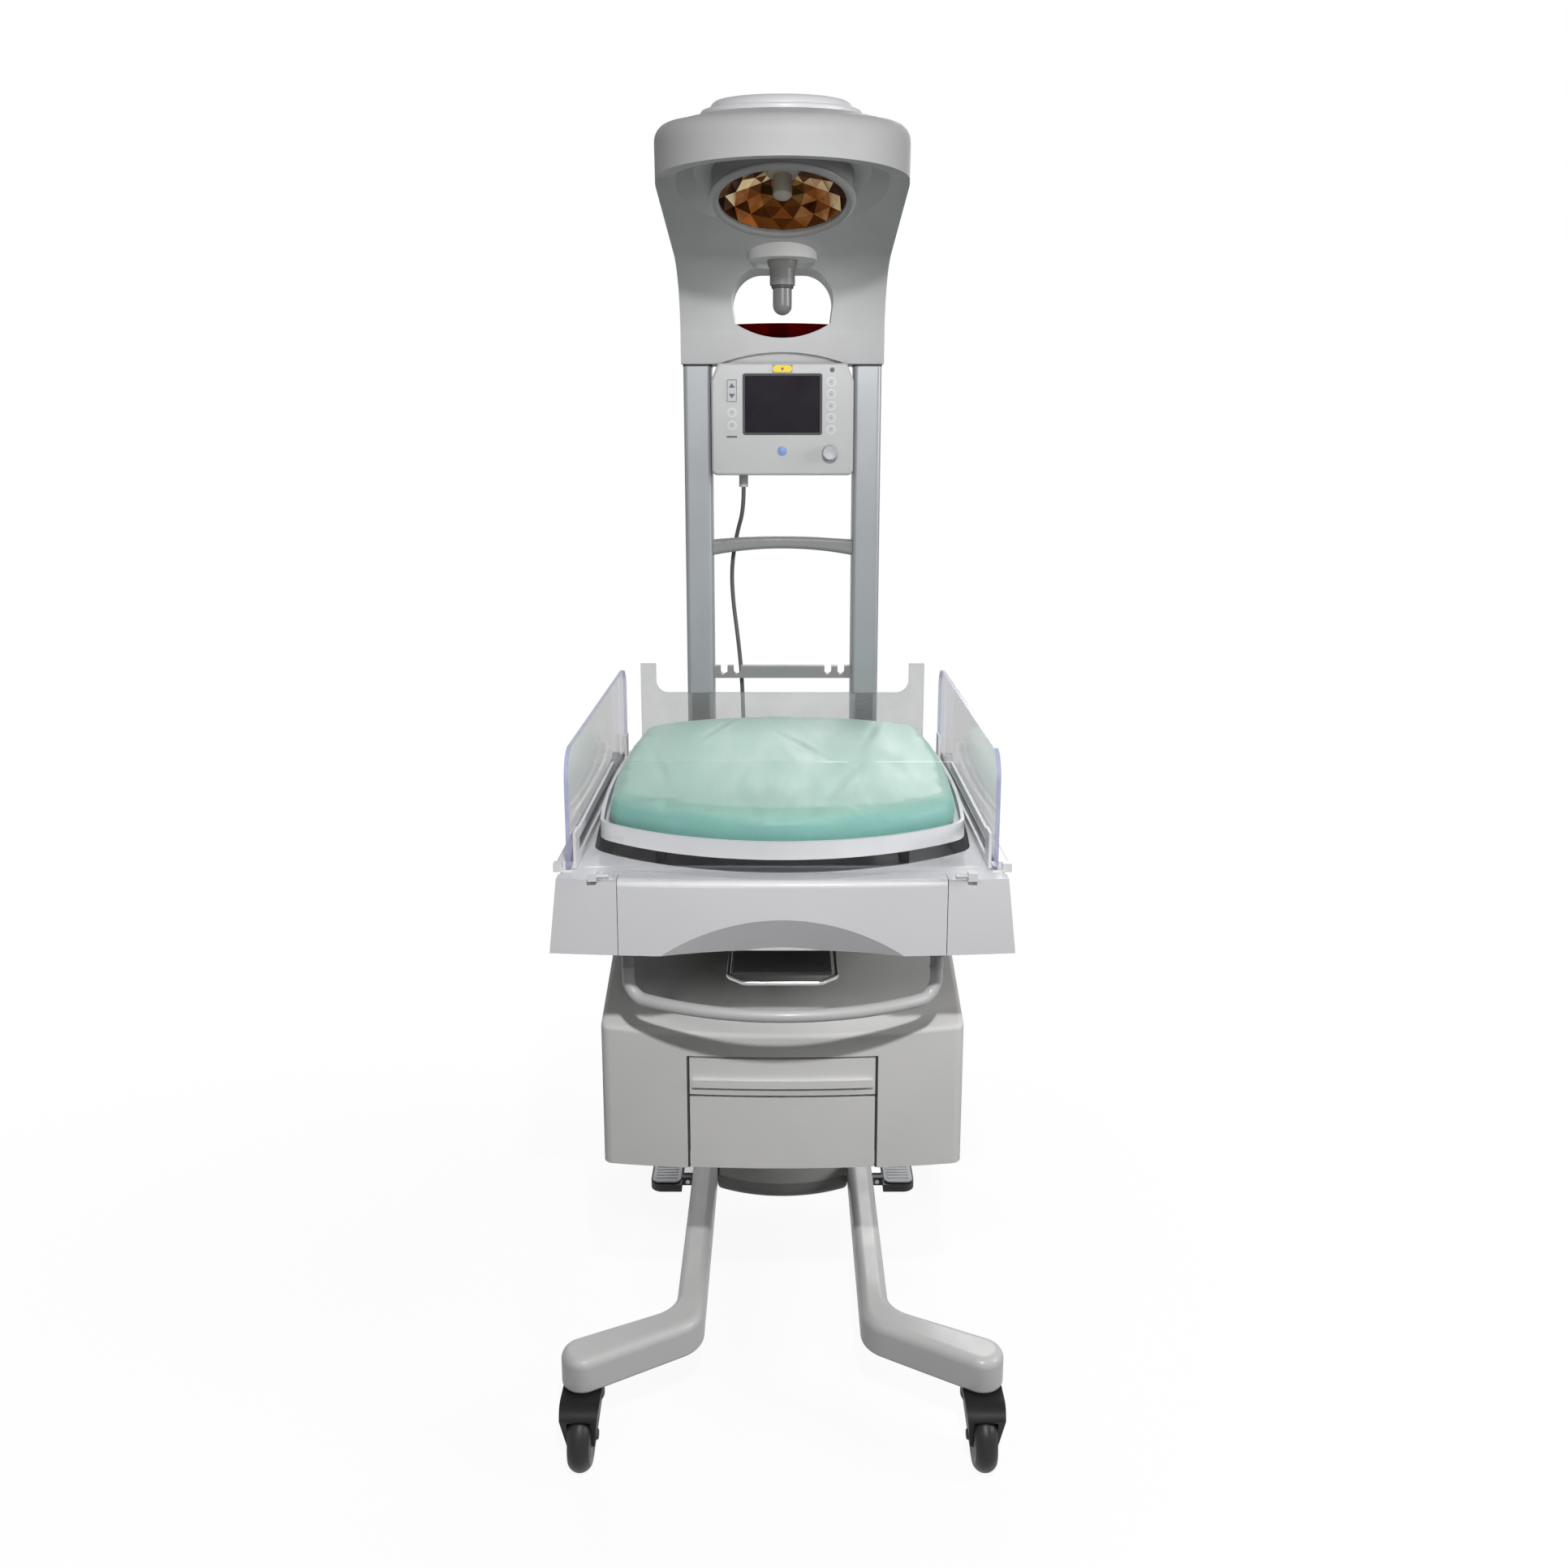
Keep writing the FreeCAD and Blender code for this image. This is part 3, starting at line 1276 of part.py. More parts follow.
def build_side_panels():
    """Two clear side panels, each on a rail that folds down outside the bed."""
    rail_bottom = S.panel_axis_z - S.panel_rail_half_height
    rail_top = S.panel_axis_z + S.panel_rail_half_height
    half = S.panel_thickness / 2
    lugs = []
    for name, side in (("left", -1), ("right", 1)):
        panel = new_body(f"side_panel_{name}")
        outline = rectangle(S.side_panel_front, S.side_panel_rear, rail_top, S.side_panel_top)
        faces = sorted([side * (S.side_panel_x - half), side * (S.side_panel_x + half)], key=value)
        add(panel, "YZ", [outline], faces[0], faces[1])
        corner = value(S.side_panel_top) - 1
        round_edges(panel, S.panel_round, lambda edge: runs_along(edge,
                                                            Vector(1, 0, 0)) and middle_of(edge).z > corner)
        keep(panel)

        rail_front = S.side_panel_front + S.panel_rail_inset
        rail_rear = S.side_panel_rear - S.panel_rail_inset
        clip_face = S.side_panel_x - half
        near = side * (clip_face - S.panel_clip_wall)
        far = side * (S.side_axis_x + S.panel_rail_half_height)
        rail = new_body(f"side_rail_{name}")
        add(rail, "XY", [rectangle(near, far, rail_front, rail_rear)], rail_bottom, rail_top)
        outer = abs(value(far)) - 0.01
        round_edges(rail, S.panel_rail_half_height * 0.98,
                    lambda edge: runs_along(edge, Vector(0, 1, 0)) and abs(middle_of(edge).x) > outer)
        clips = [rectangle(near, side * clip_face, rail_front, rail_front + S.panel_clip_length),
                 rectangle(near, side * clip_face, rail_rear - S.panel_clip_length, rail_rear)]
        add(rail, "XY", [clips[0]], rail_top - 1, rail_top + S.panel_clip_height)
        add(rail, "XY", [clips[1]], rail_top - 1, rail_top + S.panel_clip_height)
        strip = rectangle(near, side * clip_face, rail_front, rail_front + S.panel_strip_length)
        add(rail, "XY", [strip], S.panel_strip_low, S.panel_strip_low + S.panel_strip_height)
        bore = Circle(side * S.side_axis_x, S.panel_axis_z, S.pivot_radius + S.running_gap)
        cut(rail, "XZ", [bore], rail_front, rail_front + S.pivot_length)
        cut(rail, "XZ", [bore], rail_rear - S.pivot_length, rail_rear)
        keep(rail)

        top_half = S.bed_half_width - S.bed_side_draft
        for end_name, end, edge in (("front", -1, rail_front), ("rear", 1, rail_rear)):
            lug = new_body(f"pivot_{name}_{end_name}")
            face = edge + end * S.pivot_lug_gap
            levels = sorted([face, face + end * S.pivot_lug_width], key=value)
            post = rectangle(side * (S.side_axis_x - S.pivot_lug_half),
                             side * (S.side_axis_x + S.pivot_lug_half),
                             S.bed_top, S.panel_axis_z + S.pivot_lug_half)
            foot = rectangle(side * (top_half - S.bed_edge_round * 2),
                             side * (S.side_axis_x + S.pivot_lug_half),
                             S.bed_top, S.panel_axis_z - S.pivot_radius)
            add(lug, "XZ", [post], levels[0], levels[1])
            add(lug, "XZ", [foot], levels[0], levels[1])
            tip = sorted([face, face - end * S.pivot_length], key=value)
            add(lug, "XZ", [Circle(side * S.side_axis_x, S.panel_axis_z, S.pivot_radius)], tip[0], tip[1])
            lugs.append(lug)
    return lugs


def build_front_panel():
    """Clear front panel on a rail that folds down over the fascia."""
    rail_bottom = S.panel_axis_z - S.panel_rail_half_height
    rail_top = S.panel_axis_z + S.panel_rail_half_height
    half = S.panel_thickness / 2
    wide = S.front_panel_half_width
    panel = new_body("front_panel")
    add(panel, "XZ", [rectangle(-wide, wide, rail_top, S.front_panel_top)], S.front_panel_y - half,
        S.front_panel_y + half)
    corner = value(S.front_panel_top) - 1
    round_edges(panel, S.panel_round, lambda edge: runs_along(edge,
                                                            Vector(0, 1, 0)) and middle_of(edge).z > corner)
    keep(panel)

    rail_half = wide - S.panel_rail_inset
    clip_face = S.front_panel_y + half
    near = clip_face + S.panel_clip_wall
    far = S.front_axis_y - S.panel_rail_half_height
    rail = new_body("front_rail")
    add(rail, "XY", [rectangle(-rail_half, rail_half, far, near)], rail_bottom, rail_top)
    outer = value(far) + 0.01
    round_edges(rail, S.panel_rail_half_height * 0.98,
                lambda edge: runs_along(edge, Vector(1, 0, 0)) and middle_of(edge).y < outer)
    for side in (-1, 1):
        clip = rectangle(side * rail_half, side * (rail_half - S.panel_clip_length), clip_face, near)
        add(rail, "XY", [clip], rail_top - 1, rail_top + S.panel_clip_height)
    bore = Circle(S.front_axis_y, S.panel_axis_z, S.pivot_radius + S.running_gap)
    cut(rail, "YZ", [bore], -rail_half, S.pivot_length - rail_half)
    cut(rail, "YZ", [bore], rail_half - S.pivot_length, rail_half)
    keep(rail)

    lugs = []
    for name, side in (("left", -1), ("right", 1)):
        lug = new_body(f"pivot_front_{name}")
        face = side * (rail_half + S.pivot_lug_gap)
        levels = sorted([face, face + side * S.pivot_lug_width], key=value)
        post = rectangle(S.front_axis_y - S.panel_rail_half_height, S.front_axis_y + S.pivot_lug_half,
                         S.bed_top, S.panel_axis_z + S.panel_rail_half_height)
        add(lug, "YZ", [post], levels[0], levels[1])
        tip = sorted([face, face - side * S.pivot_length], key=value)
        add(lug, "YZ", [Circle(S.front_axis_y, S.panel_axis_z, S.pivot_radius)], tip[0], tip[1])
        lugs.append(lug)
    return lugs


def build_back_panel():
    """Fixed clear back panel with two horns, in front of the columns."""
    wide = S.back_panel_half_width
    inner = wide - S.back_panel_horn
    panel = new_body("back_panel")
    outline = [(-wide, S.bed_top), (wide, S.bed_top), (wide, S.back_panel_top), (inner, S.back_panel_top),
               (inner, S.back_panel_waist), (-inner, S.back_panel_waist), (-inner, S.back_panel_top),
               (-wide, S.back_panel_top)]
    add(panel, "XZ", [outline], S.column_front - S.panel_thickness, S.column_front)
    waist = value(S.back_panel_waist)
    round_edges(panel, S.back_panel_round, lambda edge: runs_along(edge, Vector(0, 1, 0))
                and abs(middle_of(edge).z - waist) < 0.1)
    keep(panel)


# Mast with its bars, and the control panel

def build_columns():
    """Two hollow columns that stand on the chassis."""
    columns = []
    for name, side in (("left", -1), ("right", 1)):
        column = new_body(f"column_{name}")
        outside = rectangle(side * S.column_inner, side * S.column_outer, S.column_front, S.column_rear)
        add(column, "XY", [outside], S.bed_bottom, S.column_top)
        round_edges(column, S.column_round, upright)
        wall = S.column_wall
        inside = rectangle(side * (S.column_inner + wall), side * (S.column_outer - wall),
                           S.column_front + wall,
                           S.column_rear - wall)
        cut(column, "XY", [inside], S.bed_bottom, S.column_top)
        columns.append(column)
    group("columns", columns)


def build_bars():
    """Arched cross bar and notched tubing bar between the columns."""
    inner = S.column_inner
    low = S.cross_bar_bottom
    bar = new_body("cross_bar")
    outline = [(-inner, low), Via(0, low + S.cross_bar_rise), (inner, low),
               (inner, low + S.cross_bar_end_height),
               Via(0, low + S.cross_bar_rise + S.cross_bar_height), (-inner, low + S.cross_bar_end_height)]
    add(bar, "XZ", [outline], S.cross_bar_front, S.cross_bar_front + S.cross_bar_depth)
    round_edges(bar, S.cross_bar_round, lambda edge: edge.BoundBox.XLength > 100)
    keep(bar)

    low = S.tubing_bar_bottom
    top = low + S.tubing_bar_height
    floor = top - S.tubing_notch_depth
    half = S.tubing_notch_width / 2
    outline = [(-inner, low), (inner, low), (inner, top)]
    right = [S.tubing_notch_outer, S.tubing_notch_outer - S.tubing_notch_pitch]
    for centre in right + [-place for place in reversed(right)]:
        outline.extend([(centre + half, top), (centre + half, floor), Via(centre, floor - half * 0.7),
                        (centre - half, floor),
                        (centre - half, top)])
    outline.append((-inner, top))
    tubing = new_body("tubing_bar")
    add(tubing, "XZ", [outline], S.tubing_bar_front, S.tubing_bar_front + S.tubing_bar_depth)
    keep(tubing)


def key_room(width_half, middle_x, low, high, gap):
    """Rectangle of a key or of its pocket."""
    return rectangle(middle_x - width_half - gap, middle_x + width_half + gap, low - gap, high + gap)


def build_control_panel():
    """Control housing between the columns with its screen, knob, rocker and keys."""
    front = S.control_front
    top = S.column_top
    housing = new_body("control_housing")
    wide = S.control_half_width
    narrow = S.control_top_half_width
    outline = [(-wide, S.control_bottom), (wide, S.control_bottom), (wide, top - S.control_shoulder),
               (narrow, top),
               (-narrow, top), (-wide, top - S.control_shoulder)]
    add(housing, "XZ", [outline], front, S.control_rear)
    low_limit = value(S.control_bottom) + 1
    round_edges(housing, S.control_round, lambda edge: runs_along(edge,
                                                         Vector(0, 1, 0)) and middle_of(edge).z < low_limit)
    face = value(front) + 0.01
    round_edges(housing, S.control_round / 2, lambda edge: edge.BoundBox.YMax < face)
    screen_top = S.screen_bottom + S.screen_height
    glass = rectangle(-S.screen_half_width, S.screen_half_width, S.screen_bottom, screen_top)
    cut(housing, "XZ", [glass], front, front + S.screen_depth)
    shaft_hole = Circle(S.knob_x, S.knob_z, S.knob_shaft_radius + S.running_gap)
    cut(housing, "XZ", [shaft_hole], front, front + S.knob_shaft_length + S.knob_gap)
    alarm_low = S.alarm_key_z - S.alarm_key_height / 2
    alarm_high = S.alarm_key_z + S.alarm_key_height / 2
    room = key_room(S.alarm_key_half_width, as_size(0), alarm_low, alarm_high, S.key_gap)
    cut(housing, "XZ", [room], front, front + S.key_depth - S.key_proud + S.key_travel_room)
    rocker_low = S.rocker_z - S.rocker_height / 2
    rocker_high = S.rocker_z + S.rocker_height / 2
    rocker_half = S.rocker_width / 2
    room = key_room(rocker_half, S.rocker_x, rocker_low, rocker_high, S.rocker_gap)
    cut(housing, "XZ", [room], front, front + S.rocker_depth - S.key_proud + S.rocker_room)
    pin_y = front + S.key_proud
    pin_half = rocker_half + S.rocker_gap * 2
    pin = Circle(pin_y, S.rocker_z, S.rocker_pin_radius)
    add(housing, "YZ", [pin], S.rocker_x - pin_half, S.rocker_x + pin_half)
    keep(housing)

    keep(block("screen", (-S.screen_half_width, S.screen_half_width), (front + S.screen_depth / 3,
                                                                       front + S.screen_depth),
               (S.screen_bottom, screen_top)))

    grip = S.knob_radius
    length = S.knob_length
    gap = S.knob_gap
    shaft = S.knob_shaft_radius
    knob = turned("control_knob", [(0, -S.knob_shaft_length), (shaft, -S.knob_shaft_length), (shaft, gap),
                                   (grip, gap),
                                   (grip, length * 0.8), Via(grip * 0.94, length * 0.94),
                                   (grip * 0.8, length), (0, length)])
    keep(put(knob, S.knob_x, front, S.knob_z, Rotation(Vector(1, 0, 0), 90)))

    key = new_body("alarm_key")
    plain = key_room(S.alarm_key_half_width, as_size(0), alarm_low, alarm_high, 0)
    add(key, "XZ", [plain], front - S.key_proud, front + S.key_depth - S.key_proud)
    round_edges(key, S.alarm_key_height * 0.45, lambda edge: runs_along(edge, Vector(0, 1, 0)))
    keep(key)

    rocker = new_body("height_rocker")
    add(rocker, "XZ", [key_room(rocker_half, S.rocker_x, rocker_low, rocker_high, 0)], front - S.key_proud,
        front + S.rocker_depth - S.key_proud)
    room = Circle(pin_y, S.rocker_z, S.rocker_pin_radius + S.running_gap)
    cut(rocker, "YZ", [room], S.rocker_x - S.rocker_width, S.rocker_x + S.rocker_width)
    keep(rocker)

    keys = []
    for number in range(5):
        keys.append((S.membrane_right_x, S.membrane_right_top - S.membrane_right_pitch * number))
    for number in range(2):
        keys.append((S.rocker_x, S.membrane_left_top - S.membrane_left_pitch * number))
    keys.append((0, S.knob_z + S.key_proud))
    discs = []
    for number, (x, z) in enumerate(keys, start=1):
        disc = rod(f"membrane_{number}", S.membrane_radius, S.membrane_proud)
        discs.append(put(disc, x, front, z, Rotation(Vector(1, 0, 0), 90)))
    group("membrane_keys", discs)


# Head

def head_side():
    """Side view of the neck and hood: a rising neck that sweeps forward over the bed."""
    low = S.column_top
    front = S.hood_centre_y - S.hood_half_width - S.head_tool_margin
    above = S.hood_dome_top + S.head_tool_margin * 4
    return [(S.neck_front, low), (S.neck_front, low + S.neck_face_height),
            Via(S.neck_front - S.neck_sweep_reach, low + S.neck_sweep_rise),
            (S.lamp_y - S.hood_under_start, low + S.hood_under_rise),
            (front, S.hood_rim_top - S.hood_nose_drop),
            (front, above), (S.neck_front - S.head_back_start, above),
            Via(S.neck_rear - S.head_back_reach, S.hood_dome_top - S.head_back_drop),
            (S.neck_rear, low + S.head_back_foot), (S.neck_rear, low)]


def head_plan(hole):
    """Plan of the head: a round hood whose sides draw in to the neck, or the inside of its lip."""
    wide = S.hood_half_width - hole
    narrow = S.head_half_width - hole
    centre = S.hood_centre_y
    turn = S.neck_round
    ease = turn * (1 - math.sqrt(0.5))
    rear = S.neck_rear
    return [(turn - narrow, rear), (narrow - turn, rear), Via(narrow - ease, rear - ease),
            (narrow, rear - turn),
            (wide, centre), Via(0, centre - wide), (-wide, centre), (-narrow, rear - turn),
            Via(ease - narrow, rear - ease)]


def tip_back(shape):
    """Raise the rear of the hood's crown, or of what lies on it, about the front of its rim."""
    front = Vector(0, value(S.hood_centre_y - S.hood_half_width), value(S.hood_rim_top))
    shape.rotate(front, Vector(1, 0, 0), value(S.hood_rise))
    return shape


def hood_crown():
    """The space under the shallow dome: turned at the front, straight towards the neck."""
    half = S.hood_half_width
    low = S.column_top - S.hood_half_width
    rim = S.hood_rim_top
    edge = S.hood_edge_round
    ease = edge * (1 - math.sqrt(0.5))
    profile = [(0, low), (half, low), (half, rim - edge), Via(half - ease, rim - ease), (half - edge, rim),
               Via(half / 2, S.hood_dome_top - dome_drop(half - edge, S.hood_dome_top - rim, half / 2)),
               (0, S.hood_dome_top)]
    centre = Vector(0, value(S.hood_centre_y), 0)
    face = Part.Face(wire_of(profile, lambda x, z: Vector(x, centre.y, z)))
    front = face.revolve(centre, Vector(0, 0, 1), -180)
    rear = face.extrude(Vector(0, value(S.neck_rear - S.hood_centre_y) * 1.2, 0))
    return tip_back(front.fuse([rear, rear.mirror(Vector(), Vector(1, 0, 0))]).removeSplitter())


def heater_frame():
    """Place of the heater: its centre, with +Z up along the tilted axis of the can."""
    return Placement(Vector(0, value(S.hood_centre_y), value(S.heater_z)),
                     Rotation(Vector(1, 0, 0), -value(S.heater_tilt)))


def heater_dish():
    """Shallow dish round the heater, sunk square into the sloping underside of the hood."""
    rear_y = value(S.lamp_y - S.hood_under_start)
    rear_z = value(S.column_top + S.hood_under_rise)
    run = rear_y - value(S.hood_centre_y - S.hood_half_width - S.head_tool_margin)
    rise = value(S.hood_rim_top - S.hood_nose_drop) - rear_z
    centre_y = value(S.hood_centre_y)
    centre_z = rear_z + (rear_y - centre_y) * rise / run
    floor = value(S.dish_floor_radius)
    deep = value(S.dish_depth)
    flare = (value(S.dish_radius) - floor) / deep
    below = 1
    dish = Part.makeCone(floor + flare * (deep + below), floor, deep + below, Vector(0, 0, -below))
    dish.Placement = Placement(Vector(0, centre_y, centre_z),
                               Rotation(Vector(1, 0, 0), -math.degrees(math.atan2(rise, run))))
    return dish


def window_outline(gap):
    """The neck window: round upper corners and a curved sill."""
    half = S.window_half_width - gap
    top = S.window_top - gap
    arch = S.window_round
    ease = arch * (1 - math.sqrt(0.5))
    foot = half - S.window_lean
    return [(-foot, S.window_corner_z), Via(0, S.window_sill + gap), (foot, S.window_corner_z),
            (half, top - arch),
            Via(half - ease, top - ease), (half - arch, top), (arch - half, top),
            Via(ease - half, top - ease),
            (-half, top - arch)]


def build_head():
    """One-piece neck and hood with its window, cap seat, heater pocket and lamp pocket."""
    wide = value(S.hood_half_width + S.head_tool_margin) * 2
    tall = 2 * value(S.head_height)
    slab = prism(head_side(), side_view, Vector(wide, 0, 0))
    slab.translate(Vector(-wide / 2, 0, 0))
    lip_low = Vector(0, 0, value(S.hood_lip_bottom))
    lip_height = Vector(0, 0, tall)
    lip = prism(head_plan(as_size(0)), lambda x, y: Vector(x, y, 0) + lip_low, lip_height)
    inside = prism(head_plan(S.hood_lip_width), lambda x, y: Vector(x, y, 0) + lip_low, lip_height)
    back = value(S.hood_centre_y)
    lip = lip.cut(inside)
    lip = lip.cut(Part.makeBox(wide, 2 * wide, 2 * tall, Vector(-wide / 2, back, value(S.column_top))))
    column_low = Vector(0, 0, value(S.column_top))
    column = prism(head_plan(as_size(0)), lambda x, y: Vector(x, y, 0) + column_low, lip_height)
    head = slab.common(column).fuse(lip).common(hood_crown()).removeSplitter()
    window = prism(window_outline(as_size(0)), front_view, Vector(0, value(S.neck_rear), 0))
    window.translate(Vector(0, value(S.lamp_y), 0))
    head = head.cut(window)
    seat = Part.makeCylinder(value(S.cap_radius + S.can_gap), tall, Vector(0, back, value(S.cap_seat)))
    head = head.cut(tip_back(seat)).cut(heater_dish())
    below = value(S.can_radius)
    pocket = Part.makeCylinder(value(S.can_radius + S.can_gap), value(S.can_height) + below,
                               Vector(0, 0, -below))
    pocket.Placement = heater_frame()
    head = head.cut(pocket)
    below = value(S.turret_radius)
    turret = Part.makeCylinder(value(S.turret_radius + S.turret_gap), value(S.turret_height) + below,
                               Vector(0, value(S.lamp_y), value(S.lamp_z) - below))
    head = head.cut(turret)
    arch_half = value(S.control_top_half_width)
    low = value(S.column_top)
    arch_front = value(S.neck_front) - 1
    arch_top = low + value(S.neck_arch_rise)
    arch = prism([(-arch_half, low), Via(0, arch_top), (arch_half, low)], lambda x, z: Vector(x, arch_front,
                                                                                              z),
                 Vector(0, 1 + value(S.neck_arch_depth), 0))
    head = head.cut(arch)
    keep(free_form("head_shell", head))


def build_cap():
    """Round cap on top of the hood."""
    wide = S.cap_radius
    tall = S.cap_height
    shoulder = tall - S.cap_dome
    flat = S.cap_top_radius
    flange = S.cap_flange
    edge = S.cap_flange_round
    ease = edge * (1 - math.sqrt(0.5))
    waist = wide - S.cap_step
    cap = turned("top_cap", [(0, 0), (wide, 0), (wide, flange - edge), Via(wide - ease, flange - ease),
                             (wide - edge, flange), (waist, flange), Via(waist - edge, shoulder - edge),
                             (flat, shoulder),
                             Via(flat / 2, tall - dome_drop(flat, S.cap_dome, flat / 2)), (0, tall)])
    turn = math.radians(value(S.hood_rise))
    ahead = S.hood_half_width
    drop = S.cap_seat - S.hood_rim_top
    y = S.hood_centre_y - ahead + ahead * math.cos(turn) - drop * math.sin(turn)
    z = S.hood_rim_top + ahead * math.sin(turn) + drop * math.cos(turn)
    keep(put(cap, 0, y, z, Rotation(Vector(1, 0, 0), value(S.hood_rise))))


def build_heater():
    """Heater can with its pale ring, dished reflector and element, all on one tilted axis."""
    tilt = Rotation(Vector(1, 0, 0), -value(S.heater_tilt))
    inner = S.can_radius - S.can_wall
    roof = S.can_height - S.can_roof
    can = turned("heater_can", [(0, roof), (inner, roof), (inner, 0), (S.can_radius, 0),
                                (S.can_radius, S.can_height),
                                (0, S.can_height)])
    bore = inner - S.ring_overlap
    ring = turned("heater_ring", [(bore, 0), (S.ring_radius, 0), (S.ring_radius, -S.ring_height * 0.4),
                                  Via(inner + S.ring_crest, -S.ring_height), (bore, -S.ring_height * 0.5)])
    edge = inner - S.can_gap
    hole = S.reflector_hole
    wall = S.reflector_wall
    deep = roof - S.can_gap
    lip = S.can_gap
    reflector = turned("reflector", [(edge, lip), (edge, lip + wall), Via(edge * 0.66, deep * 0.8),
                                     (hole, deep),
                                     (hole, deep - wall), Via(edge * 0.64, deep * 0.8 - wall),
                                     (edge - wall, lip)])
    stem = S.element_stem_radius
    nose = stem / 2
    collar = roof - S.element_collar
    element = turned("heater_element", [(0, roof), (S.element_radius, roof), (S.element_radius, collar),
                                        (stem, collar - S.element_taper), (stem, nose),
                                        Via(stem / 2, dome_drop(stem, nose, stem / 2)), (0, 0)])
    for piece in (can, ring, reflector, element):
        keep(put(piece, 0, S.hood_centre_y, S.heater_z, tilt))


def build_lamp():
    """Turret under the neck with the hanging examination lamp on its ball."""
    low = S.lamp_z
    turret = new_body("lamp_turret")
    add(turret, "XY", [Circle(0, S.lamp_y, S.turret_radius)], low, low + S.turret_height)
    room = S.ball_radius + S.ball_gap
    ball = doc.addObject("Part::Sphere", "ball_room")
    ball.setExpression("Radius", room.text)
    put(ball, 0, S.lamp_y, S.lamp_z)
    socket = doc.addObject("Part::Cut", "lamp_turret_socket")
    socket.Base = turret
    socket.Tool = ball
    socket.Label = "lamp_socket"
    keep(socket)

    ball = S.ball_radius
    barrel = S.barrel_radius
    length = S.barrel_length
    neck = math.sqrt(1 - (value(barrel) / value(ball)) ** 2)
    diagonal = math.sqrt(0.5)
    lamp = turned("lamp_barrel", [(0, -length + S.tip_socket), (S.tip_radius, -length + S.tip_socket),
                                  (S.tip_radius, -length),
                                  (barrel, -length), (barrel, ball * -neck), Via(ball, 0),
                                  (ball * diagonal, ball * diagonal),
                                  Via(ball * math.sin(math.radians(20)), ball * math.cos(math.radians(20))),
                                  (0, ball)])
    keep(put(lamp, 0, S.lamp_y, S.lamp_z))
    tip = S.tip_radius
    bottom = -length - S.tip_length
    nose = turned("lamp_tip", [(0, -length + S.tip_socket), (0, bottom),
                               Via(tip * diagonal, bottom + tip * (1 - diagonal)),
                               (tip, bottom + tip), (tip, -length + S.tip_socket)])
    keep(put(nose, 0, S.lamp_y, S.lamp_z))


def build_alarm_lens():
    """Red alarm lens that lies behind the window sill."""
    half = S.window_half_width - S.window_lean - S.alarm_gap * 4
    lens = new_body("alarm_lens")
    outline = [(-half, S.window_corner_z + S.alarm_gap), Via(0, S.window_sill + S.alarm_gap),
               (half, S.window_corner_z + S.alarm_gap),
               (half, S.alarm_top - 2), Via(0, S.alarm_top), (-half, S.alarm_top - 2)]
    add(lens, "XZ", [outline], S.alarm_front, S.alarm_front + S.alarm_depth)
    keep(lens)


# Cable

def build_cable():
    """Lead from the control panel, behind the cross bar, down to the chassis, with a gland at each end."""
    top = value(S.control_bottom - S.gland_height)
    bottom = value(S.bed_bottom + S.gland_height)
    route = [
        Vector(-70, 317, top), Vector(-70, 317, 1356), Vector(-84, 340, 1310), Vector(-94, 346, 1250),
        Vector(-92, 345, 1190), Vector(-84, 341, 1128), Vector(-77, 337, 1062), Vector(-74, 335, 996),
        Vector(-73, 336, 934), Vector(-76, 341, 882), Vector(-76, 341, bottom),
    ]
    keep(free_form("panel_cable", tube_along(route, value(S.cable_radius))))
    glands = []
    for name, end, level in (("top", route[0], top), ("bottom", route[-1], value(S.bed_bottom))):
        gland = rod(f"gland_{name}", S.gland_radius, S.gland_height)
        glands.append(put(gland, end.x, end.y, level))
    group("cable_glands", glands)


def build_all():
    """Build every piece."""
    build_leg("leg_left", -1)
    build_leg("leg_right", 1)
    for corner, x, y, quarter in corners():
        build_caster(corner, x, y, quarter)
    build_lift_base()
    build_pedals()
    build_lift_frame()
    build_cabinet()
    group("slide_runners", build_drawers() + build_tray())
    build_push_rail()
    build_bed_base()
    build_deck()
    build_mattress()
    group("panel_pivots", build_side_panels() + build_front_panel())
    build_back_panel()
    build_columns()
    build_bars()
    build_control_panel()
    build_head()
    build_cap()
    build_heater()
    build_lamp()
    build_alarm_lens()
    build_cable()


def write_parts():
    """Check every object of the document, then write one file for each piece."""
    doc.recompute()
    for piece in doc.Objects:
        if "Invalid" in piece.State or "Error" in piece.State:
            raise RuntimeError(f"{piece.Label} failed: {piece.State}")
    for piece in NODES:
        if piece.Shape.isNull() or not piece.Shape.isValid():
            raise RuntimeError(f"{piece.Label} has no valid shape")
    os.makedirs("parts", exist_ok=True)
    for piece in NODES:
        piece.Shape.exportStep(f"parts/{piece.Label}.step")
    print(len(NODES), "pieces written")


build_all()
write_parts()
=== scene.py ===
"""Looks of a free-standing infant warmer: finishes, soft and small pieces, light and camera."""

from __future__ import annotations

import json
import logging
import math
from collections.abc import Sequence
from dataclasses import dataclass, field
from enum import Enum

import bmesh
import bpy
from mathutils import Matrix, Vector

